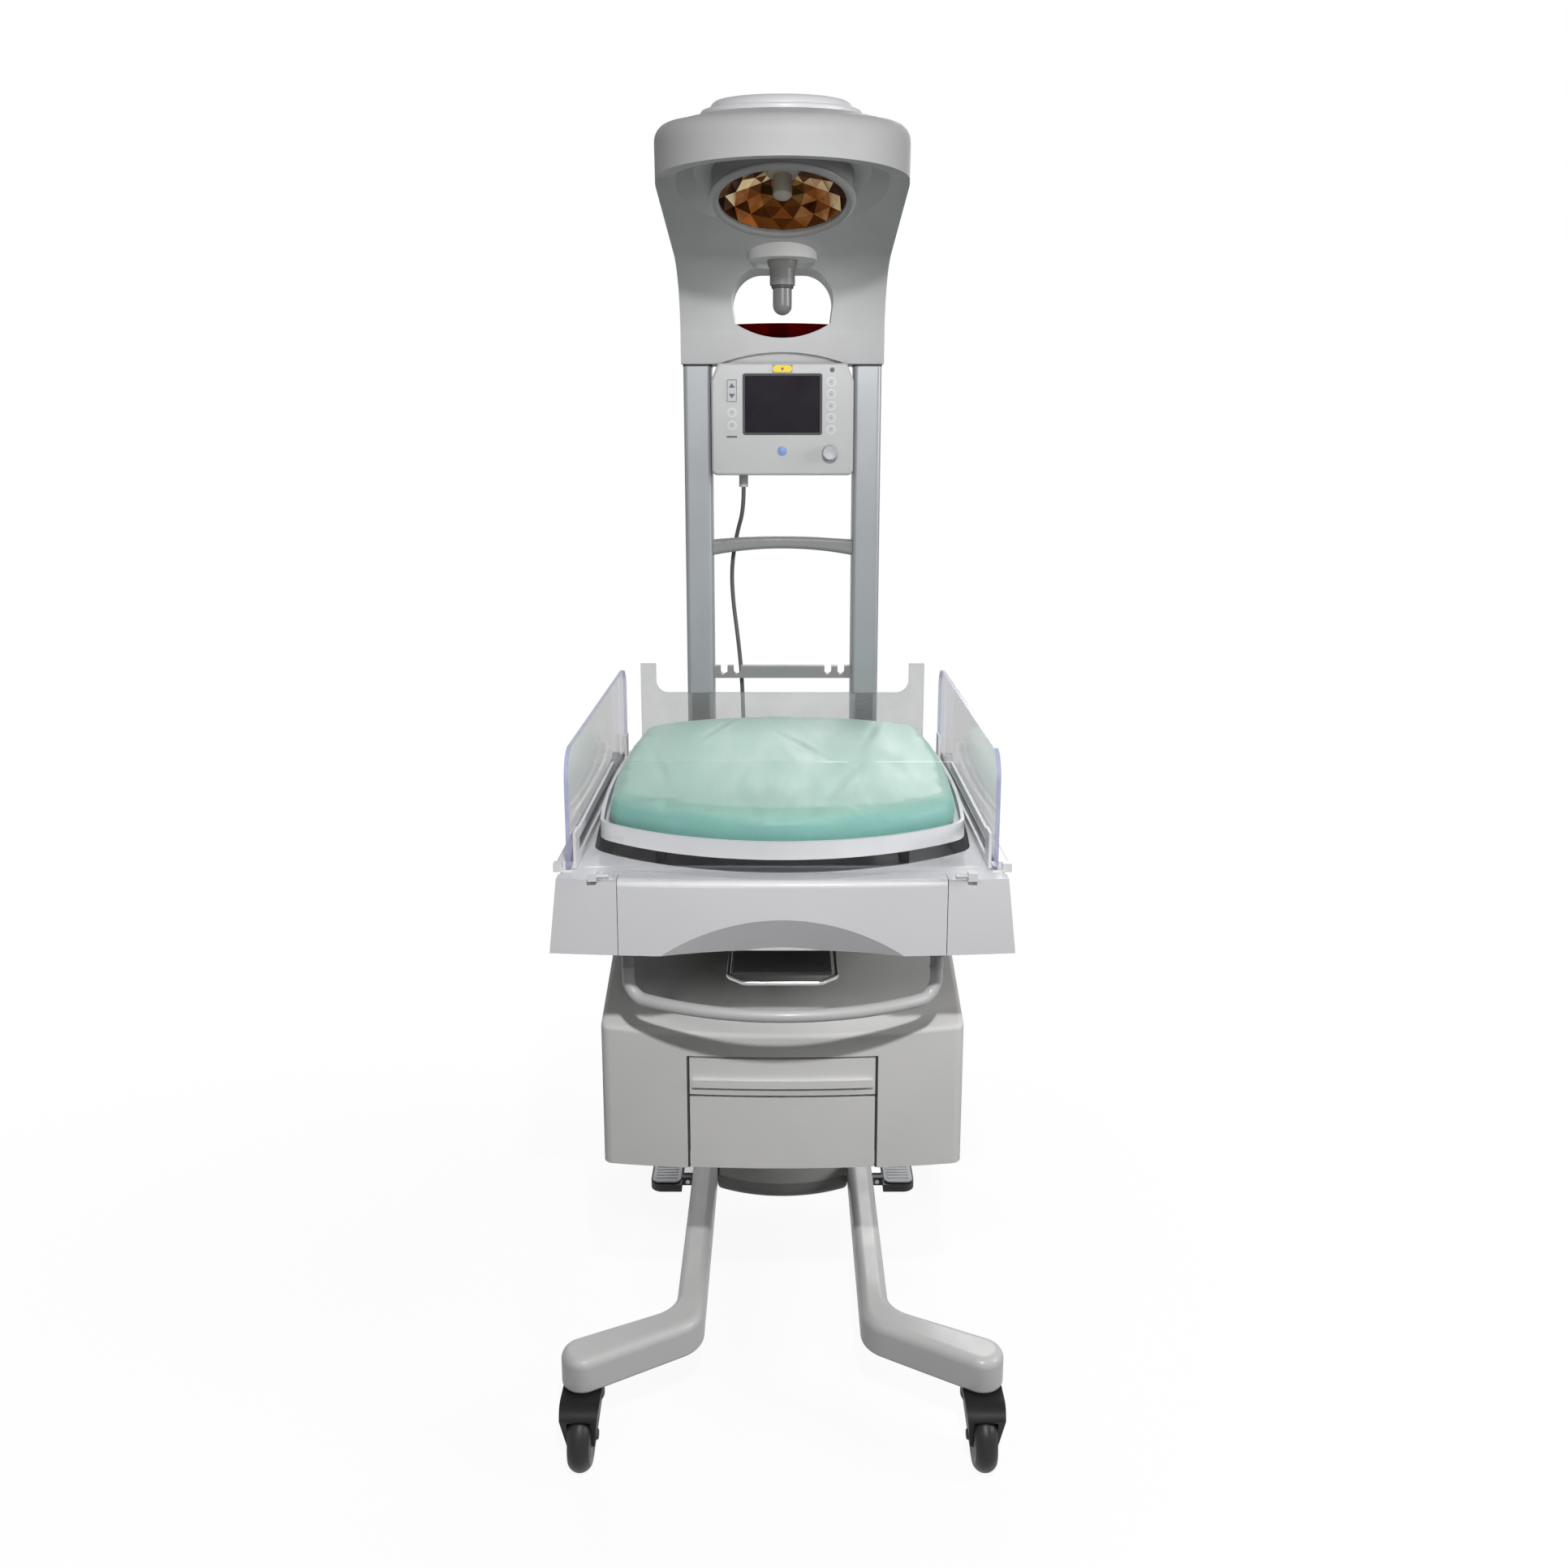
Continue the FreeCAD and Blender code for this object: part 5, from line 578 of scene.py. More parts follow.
class Forge:
    """Makes mesh objects from outlines and puts them in the scene."""

    SHARP = math.radians(38.0)
    SOFTENED = 0.3
    LEAST = 1e-6

    @classmethod
    def from_bmesh(cls, name: str, shape: Shape, flat: bool = False) -> bpy.types.Object:
        """Turn a bmesh into an object.

        Args:
            name: the piece's name.
            shape: its geometry, freed here.
            flat: True for plain facets.

        Returns:
            The linked object.
        """
        bmesh.ops.recalc_face_normals(shape, faces=shape.faces)
        for face in shape.faces:
            face.smooth = not flat
        for edge in shape.edges:
            edge.smooth = edge.calc_face_angle(0.0) < cls.SHARP
        mesh = bpy.data.meshes.new(name)
        shape.to_mesh(mesh)
        shape.free()
        thing = bpy.data.objects.new(name, mesh)
        bpy.context.scene.collection.objects.link(thing)
        return thing

    @staticmethod
    def about(axis: Axis, centre: Point) -> Matrix:
        """A frame at a point whose Z looks along an axis."""
        turn = {
            Axis.X: Matrix.Rotation(math.radians(90.0), 4, "Y"),
            Axis.Y: Matrix.Rotation(math.radians(90.0), 4, "X"),
            Axis.Z: Matrix.Identity(4),
        }[axis]
        return Matrix.Translation(Vector(centre)) @ turn

    @staticmethod
    def add_lathe(shape: Shape, profile: Sequence[Flat], frame: Matrix, steps: int,
                  flutes: int = 0, flute_depth: float = 0.0, fluted: range = range(0)) -> None:
        """Turn a profile about the frame's Z into a bmesh.

        Args:
            shape: the bmesh to add to.
            profile: radius and height of each ring; a radius of 0 closes an end.
            frame: place and direction of the axis.
            steps: corners of each ring.
            flutes: grooves round the fluted rings.
            flute_depth: how deep they are.
            fluted: indices of the fluted rings.
        """
        rings: list[list[bmesh.types.BMVert]] = []
        for index, (radius, height) in enumerate(profile):
            if radius <= 0.0:
                rings.append([shape.verts.new(frame @ Vector((0.0, 0.0, height)))])
                continue
            ring = []
            for step in range(steps):
                angle = 2.0 * math.pi * step / steps
                reach = radius
                if index in fluted:
                    reach -= flute_depth * (0.5 - 0.5 * math.cos(angle * flutes))
                spot = Vector((reach * math.cos(angle), reach * math.sin(angle), height))
                ring.append(shape.verts.new(frame @ spot))
            rings.append(ring)
        for low, high in zip(rings, rings[1:]):
            for step in range(steps):
                after = (step + 1) % steps
                corners = [low[step % len(low)], low[after % len(low)]]
                corners += [high[after % len(high)], high[step % len(high)]]
                unique = list(dict.fromkeys(corners))
                if len(unique) > 2:
                    shape.faces.new(unique)

    @staticmethod
    def rounded(half_wide: float, half_tall: float, corner: float, steps: int = 6) -> list[Flat]:
        """Corners of a rounded rectangle about the origin.

        Args:
            half_wide: half of its width.
            half_tall: half of its height.
            corner: corner radius.
            steps: points in each corner.

        Returns:
            The points in order round the outline.
        """
        points = []
        centres = ((1, 1, 0.0), (-1, 1, 90.0), (-1, -1, 180.0), (1, -1, 270.0))
        for side, rise, start in centres:
            for step in range(steps + 1):
                angle = math.radians(start + 90.0 * step / steps)
                across = side * (half_wide - corner) + corner * math.cos(angle)
                up = rise * (half_tall - corner) + corner * math.sin(angle)
                points.append((across, up))
        return points

    @staticmethod
    def skin(shape: Shape, rows: list[list[bmesh.types.BMVert]]) -> None:
        """Lay faces between each row of points and the next one of as many points."""
        for low, high in zip(rows, rows[1:]):
            count = len(low)
            for step in range(count):
                after = (step + 1) % count
                shape.faces.new((low[step], low[after], high[after], high[step]))

    @classmethod
    def add_plate(cls, shape: Shape, outline: Sequence[Flat], frame: Matrix, thick: float,
                  edge: float) -> None:
        """Raise a plate with a softened top edge from an outline.

        Args:
            shape: the bmesh to add to.
            outline: its points, in order.
            frame: place of the outline's origin, with Z along the thickness.
            thick: height of the plate.
            edge: size of the softened edge.
        """
        middle = Vector((sum(p[0] for p in outline), sum(p[1] for p in outline))) / len(outline)
        soft = edge * cls.SOFTENED
        rows = []
        for inset, height in ((0.0, 0.0), (0.0, thick - edge), (soft, thick - soft), (edge, thick)):
            row = []
            for across, up in outline:
                away = Vector((across, up)) - middle
                reach = away * max(0.0, 1.0 - inset / max(away.length, cls.LEAST)) + middle
                row.append(shape.verts.new(frame @ Vector((reach.x, reach.y, height))))
            rows.append(row)
        cls.skin(shape, rows)
        shape.faces.new(rows[-1])
        shape.faces.new(list(reversed(rows[0])))

    @classmethod
    def add_frame(cls, shape: Shape, outer: Sequence[Flat], inner: Sequence[Flat], frame: Matrix,
                  thick: float) -> None:
        """Raise a flat frame between two outlines of as many points.

        Args:
            shape: the bmesh to add to.
            outer: the outside, in order.
            inner: the inside, in order.
            frame: place of the outlines' origin, with Z along the thickness.
            thick: height of the frame.
        """
        rows = []
        for outline, height in ((outer, 0.0), (outer, thick), (inner, thick), (inner, 0.0)):
            rows.append([shape.verts.new(frame @ Vector((across, up, height))) for across, up in outline])
        cls.skin(shape, rows + rows[:1])


@dataclass
class Workshop:
    """What every sub-assembly needs: the solids, the finishes and the names of the pieces placed."""

    nodes: dict[str, bpy.types.Object]
    finishes: Finishes
    placed: list[str] = field(default_factory=list)

    def dress(self, finish: str, *names: str) -> None:
        """Give solids a finish."""
        for name in names:
            thing = self.nodes[name]
            if not thing.material_slots:
                thing.data.materials.append(None)
            for place in thing.material_slots:
                place.material = self.finishes.get(finish)
            LOG.info("solid %s in %s", name, finish)

    def place(self, thing: bpy.types.Object, finish: str, body: str, slot: str) -> None:
        """Finish a new piece and let it ride.

        Args:
            thing: the piece.
            finish: name of its finish.
            body: the body that carries it.
            slot: the record's material slot; not used.
        """
        thing.data.materials.clear()
        thing.data.materials.append(self.finishes.get(finish))
        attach(thing, body)
        self.placed.append(thing.name)
        LOG.info("piece %s in %s on %s", thing.name, finish, body)

    def make(self, name: str, shape: Shape, finish: str, body: str, slot: str) -> None:
        """Turn a bmesh into a finished piece of that name; the rest is as for place."""
        self.place(Forge.from_bmesh(name, shape), finish, body, slot)


# Sub-assemblies


@dataclass
class RollingBase:
    """Legs, casters, pedals and the lift's shroud."""

    axle_height: float = 0.05
    trail: float = 0.034
    track: float = 0.294
    front_y: float = -0.384
    rear_y: float = 0.436
    cheek: float = 0.0208
    cap_radius: float = 0.0075
    cap_reach: float = 0.0038
    cap_profile: Profile = ((1.0, -0.0012), (0.8, 0.0), (0.35, 0.0), (0.3, -0.001), (0.0, -0.001))
    cap_steps: int = 24
    hub_face: float = 0.016
    hub_radius: float = 0.031
    hub_profile: Profile = ((1.0, -0.0004), (0.97, 0.0005), (0.8, 0.0005), (0.76, 0.0001), (0.4, 0.0001),
                            (0.36, 0.0005), (0.0, 0.0005))
    hub_steps: int = 40
    pad_half: Flat = (0.0262, 0.0425)
    pad_centre: Point = (0.2145, 0.163, 0.133)
    pad_height: float = 0.0022
    pad_corner: float = 0.012
    pad_edge: float = 0.0008
    rib_share: float = 0.78
    rib_half: float = 0.0018
    rib_corner: float = 0.0017
    rib_height: float = 0.0011
    rib_edge: float = 0.0005
    rib_pitch: float = 0.0095
    ribs_each_way: int = 3

    def build(self, shop: Workshop) -> None:
        """Make and place the small pieces, then dress the solids."""
        for end, y in (("front", self.front_y), ("rear", self.rear_y)):
            for side, sign in SIDES:
                self.caster(shop, f"{end}_{side}", sign, y)
        for side, sign in SIDES:
            self.pedal_pad(shop, side, sign)
        self.dress(shop)

    def caster(self, shop: Workshop, corner: str, sign: int, y: float) -> None:
        """Axle caps on the fork and hub discs on the wheel of one caster.

        Args:
            shop: solids and finishes.
            corner: the caster's name.
            sign: -1 on the left, 1 on the right.
            y: place of its stem.
        """
        x = sign * self.track
        axis = Axis.Y
        centre = (x - sign * self.trail, y, self.axle_height)
        if corner.startswith("front"):
            axis = Axis.X
            centre = (x, y - self.trail, self.axle_height)
        far = self.cheek + self.cap_reach
        cap = [(self.cap_radius, self.cheek)]
        cap += [(self.cap_radius * share, far + rise) for share, rise in self.cap_profile]
        hub = [(self.hub_radius * share, self.hub_face + rise) for share, rise in self.hub_profile]
        caps = bmesh.new()
        hubs = bmesh.new()
        for way in (-1, 1):
            frame = Forge.about(axis, centre) @ Matrix.Scale(way, 4, Vector((0.0, 0.0, 1.0)))
            Forge.add_lathe(caps, cap, frame, self.cap_steps)
            Forge.add_lathe(hubs, hub, frame, self.hub_steps)
        shop.make(f"axle_caps_{corner}", caps, "hub_grey", f"swivel_{corner}", "caster_finish")
        shop.make(f"hub_discs_{corner}", hubs, "hub_grey", f"roller_{corner}", "tread_finish")

    def pedal_pad(self, shop: Workshop, side: str, sign: int) -> None:
        """Pale ribbed pad on one pedal."""
        x, y, top = self.pad_centre
        shape = bmesh.new()
        outline = Forge.rounded(*self.pad_half, self.pad_corner)
        frame = Forge.about(Axis.Z, (sign * x, y, top))
        Forge.add_plate(shape, outline, frame, self.pad_height, self.pad_edge)
        bar = Forge.rounded(self.pad_half[0] * self.rib_share, self.rib_half, self.rib_corner, 3)
        for rib in range(-self.ribs_each_way, self.ribs_each_way + 1):
            spot = (sign * x, y + rib * self.rib_pitch, top + self.pad_height)
            Forge.add_plate(shape, bar, Forge.about(Axis.Z, spot), self.rib_height, self.rib_edge)
        body = Body.LEFT_PEDAL if sign < 0 else Body.RIGHT_PEDAL
        shop.make(f"pedal_pad_{side}", shape, "pedal_pale", body.value, "pedal_finish")

    def dress(self, shop: Workshop) -> None:
        """Finish the solids of the base."""
        shop.dress("leg_paint", "leg_left", "leg_right")
        shop.dress("pan_paint", "base_pan")
        shop.dress("shroud_grey", "lift_shroud")
        shop.dress("brushed_steel", "pedal_brackets")
        shop.dress("pedal_black", "pedal_left", "pedal_right")
        for corner in ("front_left", "front_right", "rear_left", "rear_right"):
            shop.dress("caster_black", f"caster_{corner}")
            shop.dress("tread_rubber", f"wheel_{corner}")


@dataclass
class Storage:
    """Lift column, cabinet, drawers, tray and push rail."""

    post_x: float = 0.2169
    post_y: float = -0.3565
    post_radius: float = 0.009
    flange_top: float = 0.8058
    flange_profile: Profile = ((0.0002, -0.012), (0.004, -0.009), (0.009, -0.003), (0.0095, 0.0),
                               (0.0002, 0.0))
    collars_z: Flat = (0.752, 0.768)
    collar_profile: Profile = ((0.0001, 0.0), (0.0009, 0.0006), (0.0009, 0.0034), (0.0001, 0.004))
    collar_steps: int = 40
    strip_x: Flat = (0.1379, 0.1408)
    strip_y: float = -0.2995
    strip_depth: float = 0.008
    strip_z: Flat = (0.4124, 0.5900)
    strip_corner: float = 0.0006
    strip_edge: float = 0.0004

    def build(self, shop: Workshop) -> None:
        """Make the rail's collars and the gap strips, then dress the solids."""
        self.collars(shop)
        self.gap_shade_strips(shop)
        self.dress(shop)

    def gap_shade_strips(self, shop: Workshop) -> None:
        """Dark strip behind the gap at each side of the drawers, painted shade that keeps the gaps dark."""
        shape = bmesh.new()
        low, high = self.strip_z
        half = ((self.strip_x[1] - self.strip_x[0]) / 2.0, self.strip_depth / 2.0)
        outline = Forge.rounded(*half, self.strip_corner, 2)
        for _, sign in SIDES:
            spot = (sign * sum(self.strip_x) / 2.0, self.strip_y, low)
            Forge.add_plate(shape, outline, Forge.about(Axis.Z, spot), high - low, self.strip_edge)
        # Painted shade: black strips darken the drawer gaps.
        shop.make("drawer_gap_shade", shape, "gasket_black", Body.CARRIAGE.value, "cable_finish")

    def collars(self, shop: Workshop) -> None:
        """Flange and two rings on each post of the rail."""
        shape = bmesh.new()
        for _, sign in SIDES:
            frame = Forge.about(Axis.Z, (sign * self.post_x, self.post_y, 0.0))
            rings = [(self.flange_top, self.flange_profile)]
            rings += [(low, self.collar_profile) for low in self.collars_z]
            for level, steps in rings:
                profile = [(self.post_radius + out, level + rise) for out, rise in steps]
                Forge.add_lathe(shape, profile, frame, self.collar_steps)
        shop.make("rail_collars", shape, "rail_pale", Body.CARRIAGE.value, "rail_finish")

    def dress(self, shop: Workshop) -> None:
        """Finish the solids."""
        shop.dress("mast_satin", "lift_mast", "bed_chassis")
        shop.dress("brushed_steel", "actuator_rod", "slide_runners")
        shop.dress("cabinet_grey", "cabinet_shell")
        shop.dress("drawer_grey", "upper_drawer", "lower_drawer")
        # The tray's dark finish is painted shade from the bed above.
        shop.dress("tray_painted_shade", "pull_tray")
        shop.dress("bright_wire", "tray_handle")
        shop.dress("rail_pale", "push_rail")


@dataclass
class Bed:
    """Bed base, deck, clear panels and the padded mattress."""

    inset: float = 0.003
    voxel: float = 0.005
    pressure: float = 2.0
    cloth_quality: int = 4
    most_swell: float = 0.0028
    frames: int = 20
    fill: float = 0.8
    floor: float = 0.9345
    creases: tuple[tuple[float, float, float, float], ...] = (
        (-0.105, 0.16, 0.030, 0.0016), (0.035, -0.02, -0.045, 0.0013), (0.150, 0.10, 0.02, 0.0015),
        (-0.190, -0.14, -0.02, 0.0012), (0.085, -0.24, 0.03, 0.0011),
    )
    crease_length: float = 0.11
    crease_width: float = 0.007
    ridge_share: float = 0.6
    ridge_shift: float = 2.2

    def build(self, shop: Workshop) -> None:
        """Make the mattress, then dress the solids."""
        pad = self.mattress(shop)
        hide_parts("mattress")
        shop.place(pad, "mint_cover", Body.DECK.value, "mattress_finish")
        self.dress(shop)

    def mattress(self, shop: Workshop) -> bpy.types.Object:
        """Swell a slightly smaller copy of the mattress solid into a padded form.

        Args:
            shop: the solids.

        Returns:
            The mattress with nothing left to simulate.
        """
        pad = bpy.data.objects.new("mattress_pad", shop.nodes["mattress"].data.copy())
        bpy.context.scene.collection.objects.link(pad)
        low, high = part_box("mattress")
        middle = (low + high) / 2.0
        size = high - low
        for vert in pad.data.vertices:
            for axis in range(3):
                share = (size[axis] - 2.0 * self.inset) / size[axis]
                vert.co[axis] = middle[axis] + (vert.co[axis] - middle[axis]) * share
        remesh = pad.modifiers.new("even_mesh", "REMESH")
        remesh.mode = "VOXEL"
        remesh.voxel_size = self.voxel
        self.settle(pad)
        self.swell(pad)
        for vert in pad.data.vertices:
            rise = self.crease(vert.co) if vert.co.z > middle.z else 0.0
            vert.co.z = max(vert.co.z, self.floor) + rise
        finer = pad.modifiers.new("finer", "SUBSURF")
        finer.levels = 1
        finer.render_levels = 1
        self.settle(pad)
        for face in pad.data.polygons:
            face.use_smooth = True
        return pad

    @staticmethod
    def settle(thing: bpy.types.Object) -> None:
        """Turn an object's modifiers into its own mesh."""
        seen = thing.evaluated_get(bpy.context.evaluated_depsgraph_get())
        mesh = bpy.data.meshes.new_from_object(seen)
        thing.modifiers.clear()
        thing.data = mesh

    def swell(self, pad: bpy.types.Object) -> None:
        """Blow the cover up as cloth and keep each point within reach of where it began."""
        start = [vert.co.copy() for vert in pad.data.vertices]
        cloth = pad.modifiers.new("swell", "CLOTH")
        cloth.settings.use_pressure = True
        cloth.settings.uniform_pressure_force = self.pressure
        cloth.settings.effector_weights.gravity = 0.0
        cloth.settings.quality = self.cloth_quality
        cloth.point_cache.frame_start = 1
        cloth.point_cache.frame_end = self.frames
        for frame in range(1, self.frames + 1):
            bpy.context.scene.frame_set(frame)
        self.settle(pad)
        bpy.context.scene.frame_set(1)
        for vert, begin in zip(pad.data.vertices, start):
            move = vert.co - begin
            if move.length > self.most_swell:
                vert.co = begin + move.normalized() * self.most_swell

    def crease(self, spot: Vector) -> float:
        """Rise of the cover's top at a point: long shallow creases, each with a ridge beside it."""
        rise = 0.0
        for x, y, slant, depth in self.creases:
            along = (spot.y - y) / self.crease_length
            across = (spot.x - x - slant * along) / self.crease_width
            rise -= depth * math.exp(-across * across - along * along)
            beside = across - self.ridge_shift
            rise += self.ridge_share * depth * math.exp(-beside ** 2 - along * along)
        return rise

    def dress(self, shop: Workshop) -> None:
        """Finish the solids of the bed."""
        shop.dress("bed_white", "bed_base", "bed_fascia", "corner_caps")
        shop.dress("deck_white", "mattress_deck")
        shop.dress("brushed_steel", "tilt_pivot")
        shop.dress("bed_white", "side_rail_left", "side_rail_right", "panel_pivots")
        shop.dress("clear_side", "side_panel_left", "side_panel_right")
        shop.dress("clear_front", "front_panel", "front_rail")
        shop.dress("clear_back", "back_panel")


@dataclass
class Mast:
    """Columns, bars and the control panel with its keys, screen and lead."""

    face: float = 0.262
    screen_half: Flat = (0.0695, 0.0525)
    screen_z: float = 1.540
    bezel_width: float = 0.004
    bezel_corners: Flat = (0.0045, 0.0025)
    bezel_sunk: float = 0.0008
    bezel_thick: float = 0.0014
    knob_at: Point = (0.083, 0.262, 1.457)
    knob_profile: Profile = (
        (0.003, -0.012), (0.003, 0.0006), (0.014, 0.0006), (0.014, 0.0022), (0.01358, 0.0032),
        (0.01358, 0.01512), (0.01288, 0.01692), (0.0112, 0.018), (0.01036, 0.0174), (0.0, 0.0174),
    )
    knob_steps: int = 144
    flutes: int = 24
    flute_depth: float = 0.0010
    fluted_rings: range = range(4, 7)
    pointer_half: Flat = (0.0008, 0.0042)
    pointer_corner: float = 0.0007
    pointer_rise: float = 0.0056
    pointer_thick: float = 0.0005
    mark_edge: float = 0.0002
    rocker_at: Point = (-0.088, 0.259, 1.563)
    arrow: Profile = ((-0.0052, 0.0), (0.0052, 0.0), (0.0, 0.0078))
    arrow_rise: float = 0.0052
    arrow_thick: float = 0.0004
    arrow_edge: float = 0.0001
    key_proud: float = 0.0008
    right_keys_x: float = 0.085
    right_keys_top: float = 1.578
    right_keys_pitch: float = 0.02025
    right_keys: int = 5
    left_keys: Profile = ((-0.088, 1.526), (-0.088, 1.504))
    key_ring: Profile = ((0.0044, 0.0), (0.0044, 0.0002), (0.0036, 0.0002), (0.0036, 0.0))
    key_steps: int = 28
    key_dot: Profile = ((0.0015, 0.0), (0.0015, 0.0002), (0.0, 0.0002))
    dot_steps: int = 14
    blue_at: Flat = (0.0, 1.460)
    blue_profile: Profile = ((0.0082, 0.0), (0.0082, 0.0003), (0.0076, 0.0007), (0.0, 0.0008))
    blue_steps: int = 36
    window_at: Flat = (0.0865, 1.5985)
    window_profile: Profile = ((0.0042, 0.0), (0.0042, 0.0004), (0.0034, 0.0006), (0.0, 0.0006))
    window_steps: int = 24
    slot_at: Flat = (-0.0885, 1.4845)
    slot_half: Flat = (0.0095, 0.0016)
    slot_corner: float = 0.0015
    slot_thick: float = 0.0005
    alarm_at: Point = (0.0, 0.259, 1.600)
    alarm_profile: Profile = ((0.0022, 0.0), (0.0022, 0.0003), (0.0, 0.0003))
    alarm_steps: int = 20
    column_x: Flat = (0.126, 0.175)
    column_y: Flat = (0.295, 0.360)
    gasket_z: float = 1.606
    gasket_out: float = 0.0006
    gasket_in: float = 0.002
    gasket_corners: Flat = (0.0082, 0.006)
    gasket_thick: float = 0.0036
    screws_x: Flat = (-0.108, 0.108)
    screws_y: float = 0.330
    screws_z: Flat = (1.436, 1.574)
    screw_profile: Profile = ((0.0042, 0.0), (0.0042, 0.0012), (0.0034, 0.0020), (0.0018, 0.0022),
                              (0.0017, 0.0012), (0.0, 0.0012))
    screw_steps: int = 24
    lead_radius: float = 0.00375
    lead_length: float = 0.571
    lead_steps: int = 12
    lead_round: int = 5
    lead_route: tuple[Point, ...] = (
        (-0.070, 0.317, 1.396), (-0.070, 0.317, 1.356), (-0.084, 0.340, 1.310), (-0.094, 0.346, 1.250),
        (-0.092, 0.345, 1.190), (-0.084, 0.341, 1.128), (-0.077, 0.337, 1.062), (-0.074, 0.335, 0.996),
        (-0.073, 0.336, 0.934), (-0.076, 0.341, 0.882), (-0.076, 0.341, 0.828),
    )

    def build(self, shop: Workshop) -> None:
        """Make the lead and the panel's small pieces, then dress the solids."""
        self.lead(shop)
        self.bezel(shop)
        self.knob(shop)
        self.key_marks(shop)
        self.gaskets(shop)
        self.rear_screws(shop)
        self.dress(shop)

    def lead(self, shop: Workshop) -> None:
        """Lead from the panel down behind the bed, as one smooth line."""
        curve = bpy.data.curves.new("panel_lead", "CURVE")
        curve.dimensions = "3D"
        line = curve.splines.new("NURBS")
        line.points.add(len(self.lead_route) - 1)
        for point, spot in zip(line.points, self.lead_route):
            point.co = (*spot, 1.0)
        line.order_u = 3
        line.use_endpoint_u = True
        line.resolution_u = self.lead_steps
        curve.bevel_depth = self.lead_radius
        curve.bevel_resolution = self.lead_round
        curve.use_fill_caps = True
        thing = bpy.data.objects.new("panel_lead", curve)
        bpy.context.scene.collection.objects.link(thing)
        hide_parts("panel_cable")
        shop.place(thing, "lead_sheath", Body.CARRIAGE.value, "cable_finish")

    def front(self, x: float, z: float, out: float = 0.0) -> Matrix:
        """A frame on the panel's face whose Z looks out of it."""
        return Forge.about(Axis.Y, (x, self.face - out, z))

    def bezel(self, shop: Workshop) -> None:
        """Thin dark surround of the screen."""
        wide, tall = self.screen_half
        outer, inner = self.bezel_corners
        shape = bmesh.new()
        Forge.add_frame(shape, Forge.rounded(wide, tall, outer),
                        Forge.rounded(wide - self.bezel_width, tall - self.bezel_width, inner),
                        self.front(0.0, self.screen_z, -self.bezel_sunk), self.bezel_thick)
        shop.make("screen_bezel", shape, "bezel_dark", Body.CARRIAGE.value, "screen_finish")

    def knob(self, shop: Workshop) -> None:
        """Fluted knob with a pointer line."""
        x, y, z = self.knob_at
        shape = bmesh.new()
        Forge.add_lathe(shape, self.knob_profile, Forge.about(Axis.Y, self.knob_at), self.knob_steps,
                        self.flutes, self.flute_depth, self.fluted_rings)
        end = y - self.knob_profile[-1][1]
        frame = Forge.about(Axis.Y, (x, end, z + self.pointer_rise))
        Forge.add_plate(shape, Forge.rounded(*self.pointer_half, self.pointer_corner, 2), frame,
                        self.pointer_thick, self.mark_edge)
        thing = Forge.from_bmesh("fluted_knob", shape)
        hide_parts("control_knob")
        shop.place(thing, "knob_grey", Body.KNOB.value, "knob_finish")

    def key_marks(self, shop: Workshop) -> None:
        """Arrows on the rocker, rings on the keys, the blue key, a window, a slot and the alarm key's dot."""
        x, y, z = self.rocker_at
        arrows = bmesh.new()
        for way in (-1, 1):
            frame = Forge.about(Axis.Y, (x, y, z + way * self.arrow_rise))
            frame = frame @ Matrix.Scale(way, 4, Vector((0.0, 1.0, 0.0)))
            Forge.add_plate(arrows, self.arrow, frame, self.arrow_thick, self.arrow_edge)
        shop.make("rocker_arrows", arrows, "mark_dark", Body.ROCKER.value, "rocker_finish")
        rings = bmesh.new()
        spots = [(self.right_keys_x, self.right_keys_top - self.right_keys_pitch * number)
                 for number in range(self.right_keys)]
        for key_x, key_z in (*spots, *self.left_keys):
            frame = self.front(key_x, key_z, self.key_proud)
            Forge.add_lathe(rings, self.key_ring, frame, self.key_steps)
            Forge.add_lathe(rings, self.key_dot, frame, self.dot_steps)
        shop.make("key_rings", rings, "key_line", Body.CARRIAGE.value, "membrane_finish")
        blue = bmesh.new()
        Forge.add_lathe(blue, self.blue_profile, self.front(*self.blue_at, self.key_proud), self.blue_steps)
        shop.make("blue_key", blue, "key_blue", Body.CARRIAGE.value, "membrane_finish")
        dark = bmesh.new()
        Forge.add_lathe(dark, self.window_profile, self.front(*self.window_at), self.window_steps)
        Forge.add_plate(dark, Forge.rounded(*self.slot_half, self.slot_corner, 3), self.front(*self.slot_at),
                        self.slot_thick, self.mark_edge)
        shop.make("panel_marks", dark, "mark_dark", Body.CARRIAGE.value, "membrane_finish")
        dot = bmesh.new()
        Forge.add_lathe(dot, self.alarm_profile, Forge.about(Axis.Y, self.alarm_at), self.alarm_steps)
        shop.make("alarm_dot", dot, "mark_dark", Body.ALARM.value, "alarm_key_finish")

    def gaskets(self, shop: Workshop) -> None:
        """Dark joint where each column meets the head."""
        inner, outer = self.column_x
        front, rear = self.column_y
        half = ((outer - inner) / 2.0, (rear - front) / 2.0)
        rims = [Forge.rounded(half[0] + out, half[1] + out, corner)
                for out, corner in zip((self.gasket_out, -self.gasket_in), self.gasket_corners)]
        shape = bmesh.new()
        for _, sign in SIDES:
            spot = (sign * (inner + outer) / 2.0, (front + rear) / 2.0, self.gasket_z)
            Forge.add_frame(shape, *rims, Forge.about(Axis.Z, spot), self.gasket_thick)
        shop.make("column_gaskets", shape, "gasket_black", Body.CARRIAGE.value, "cable_finish")

    def rear_screws(self, shop: Workshop) -> None:
        """Four screws in the back of the control housing."""
        shape = bmesh.new()
        for x in self.screws_x:
            for z in self.screws_z:
                place = Matrix.Translation((x, self.screws_y, z))
                frame = place @ Matrix.Rotation(math.radians(-90.0), 4, "X")
                Forge.add_lathe(shape, self.screw_profile, frame, self.screw_steps)
        shop.make("housing_screws", shape, "brushed_steel", Body.CARRIAGE.value, "steel_finish")

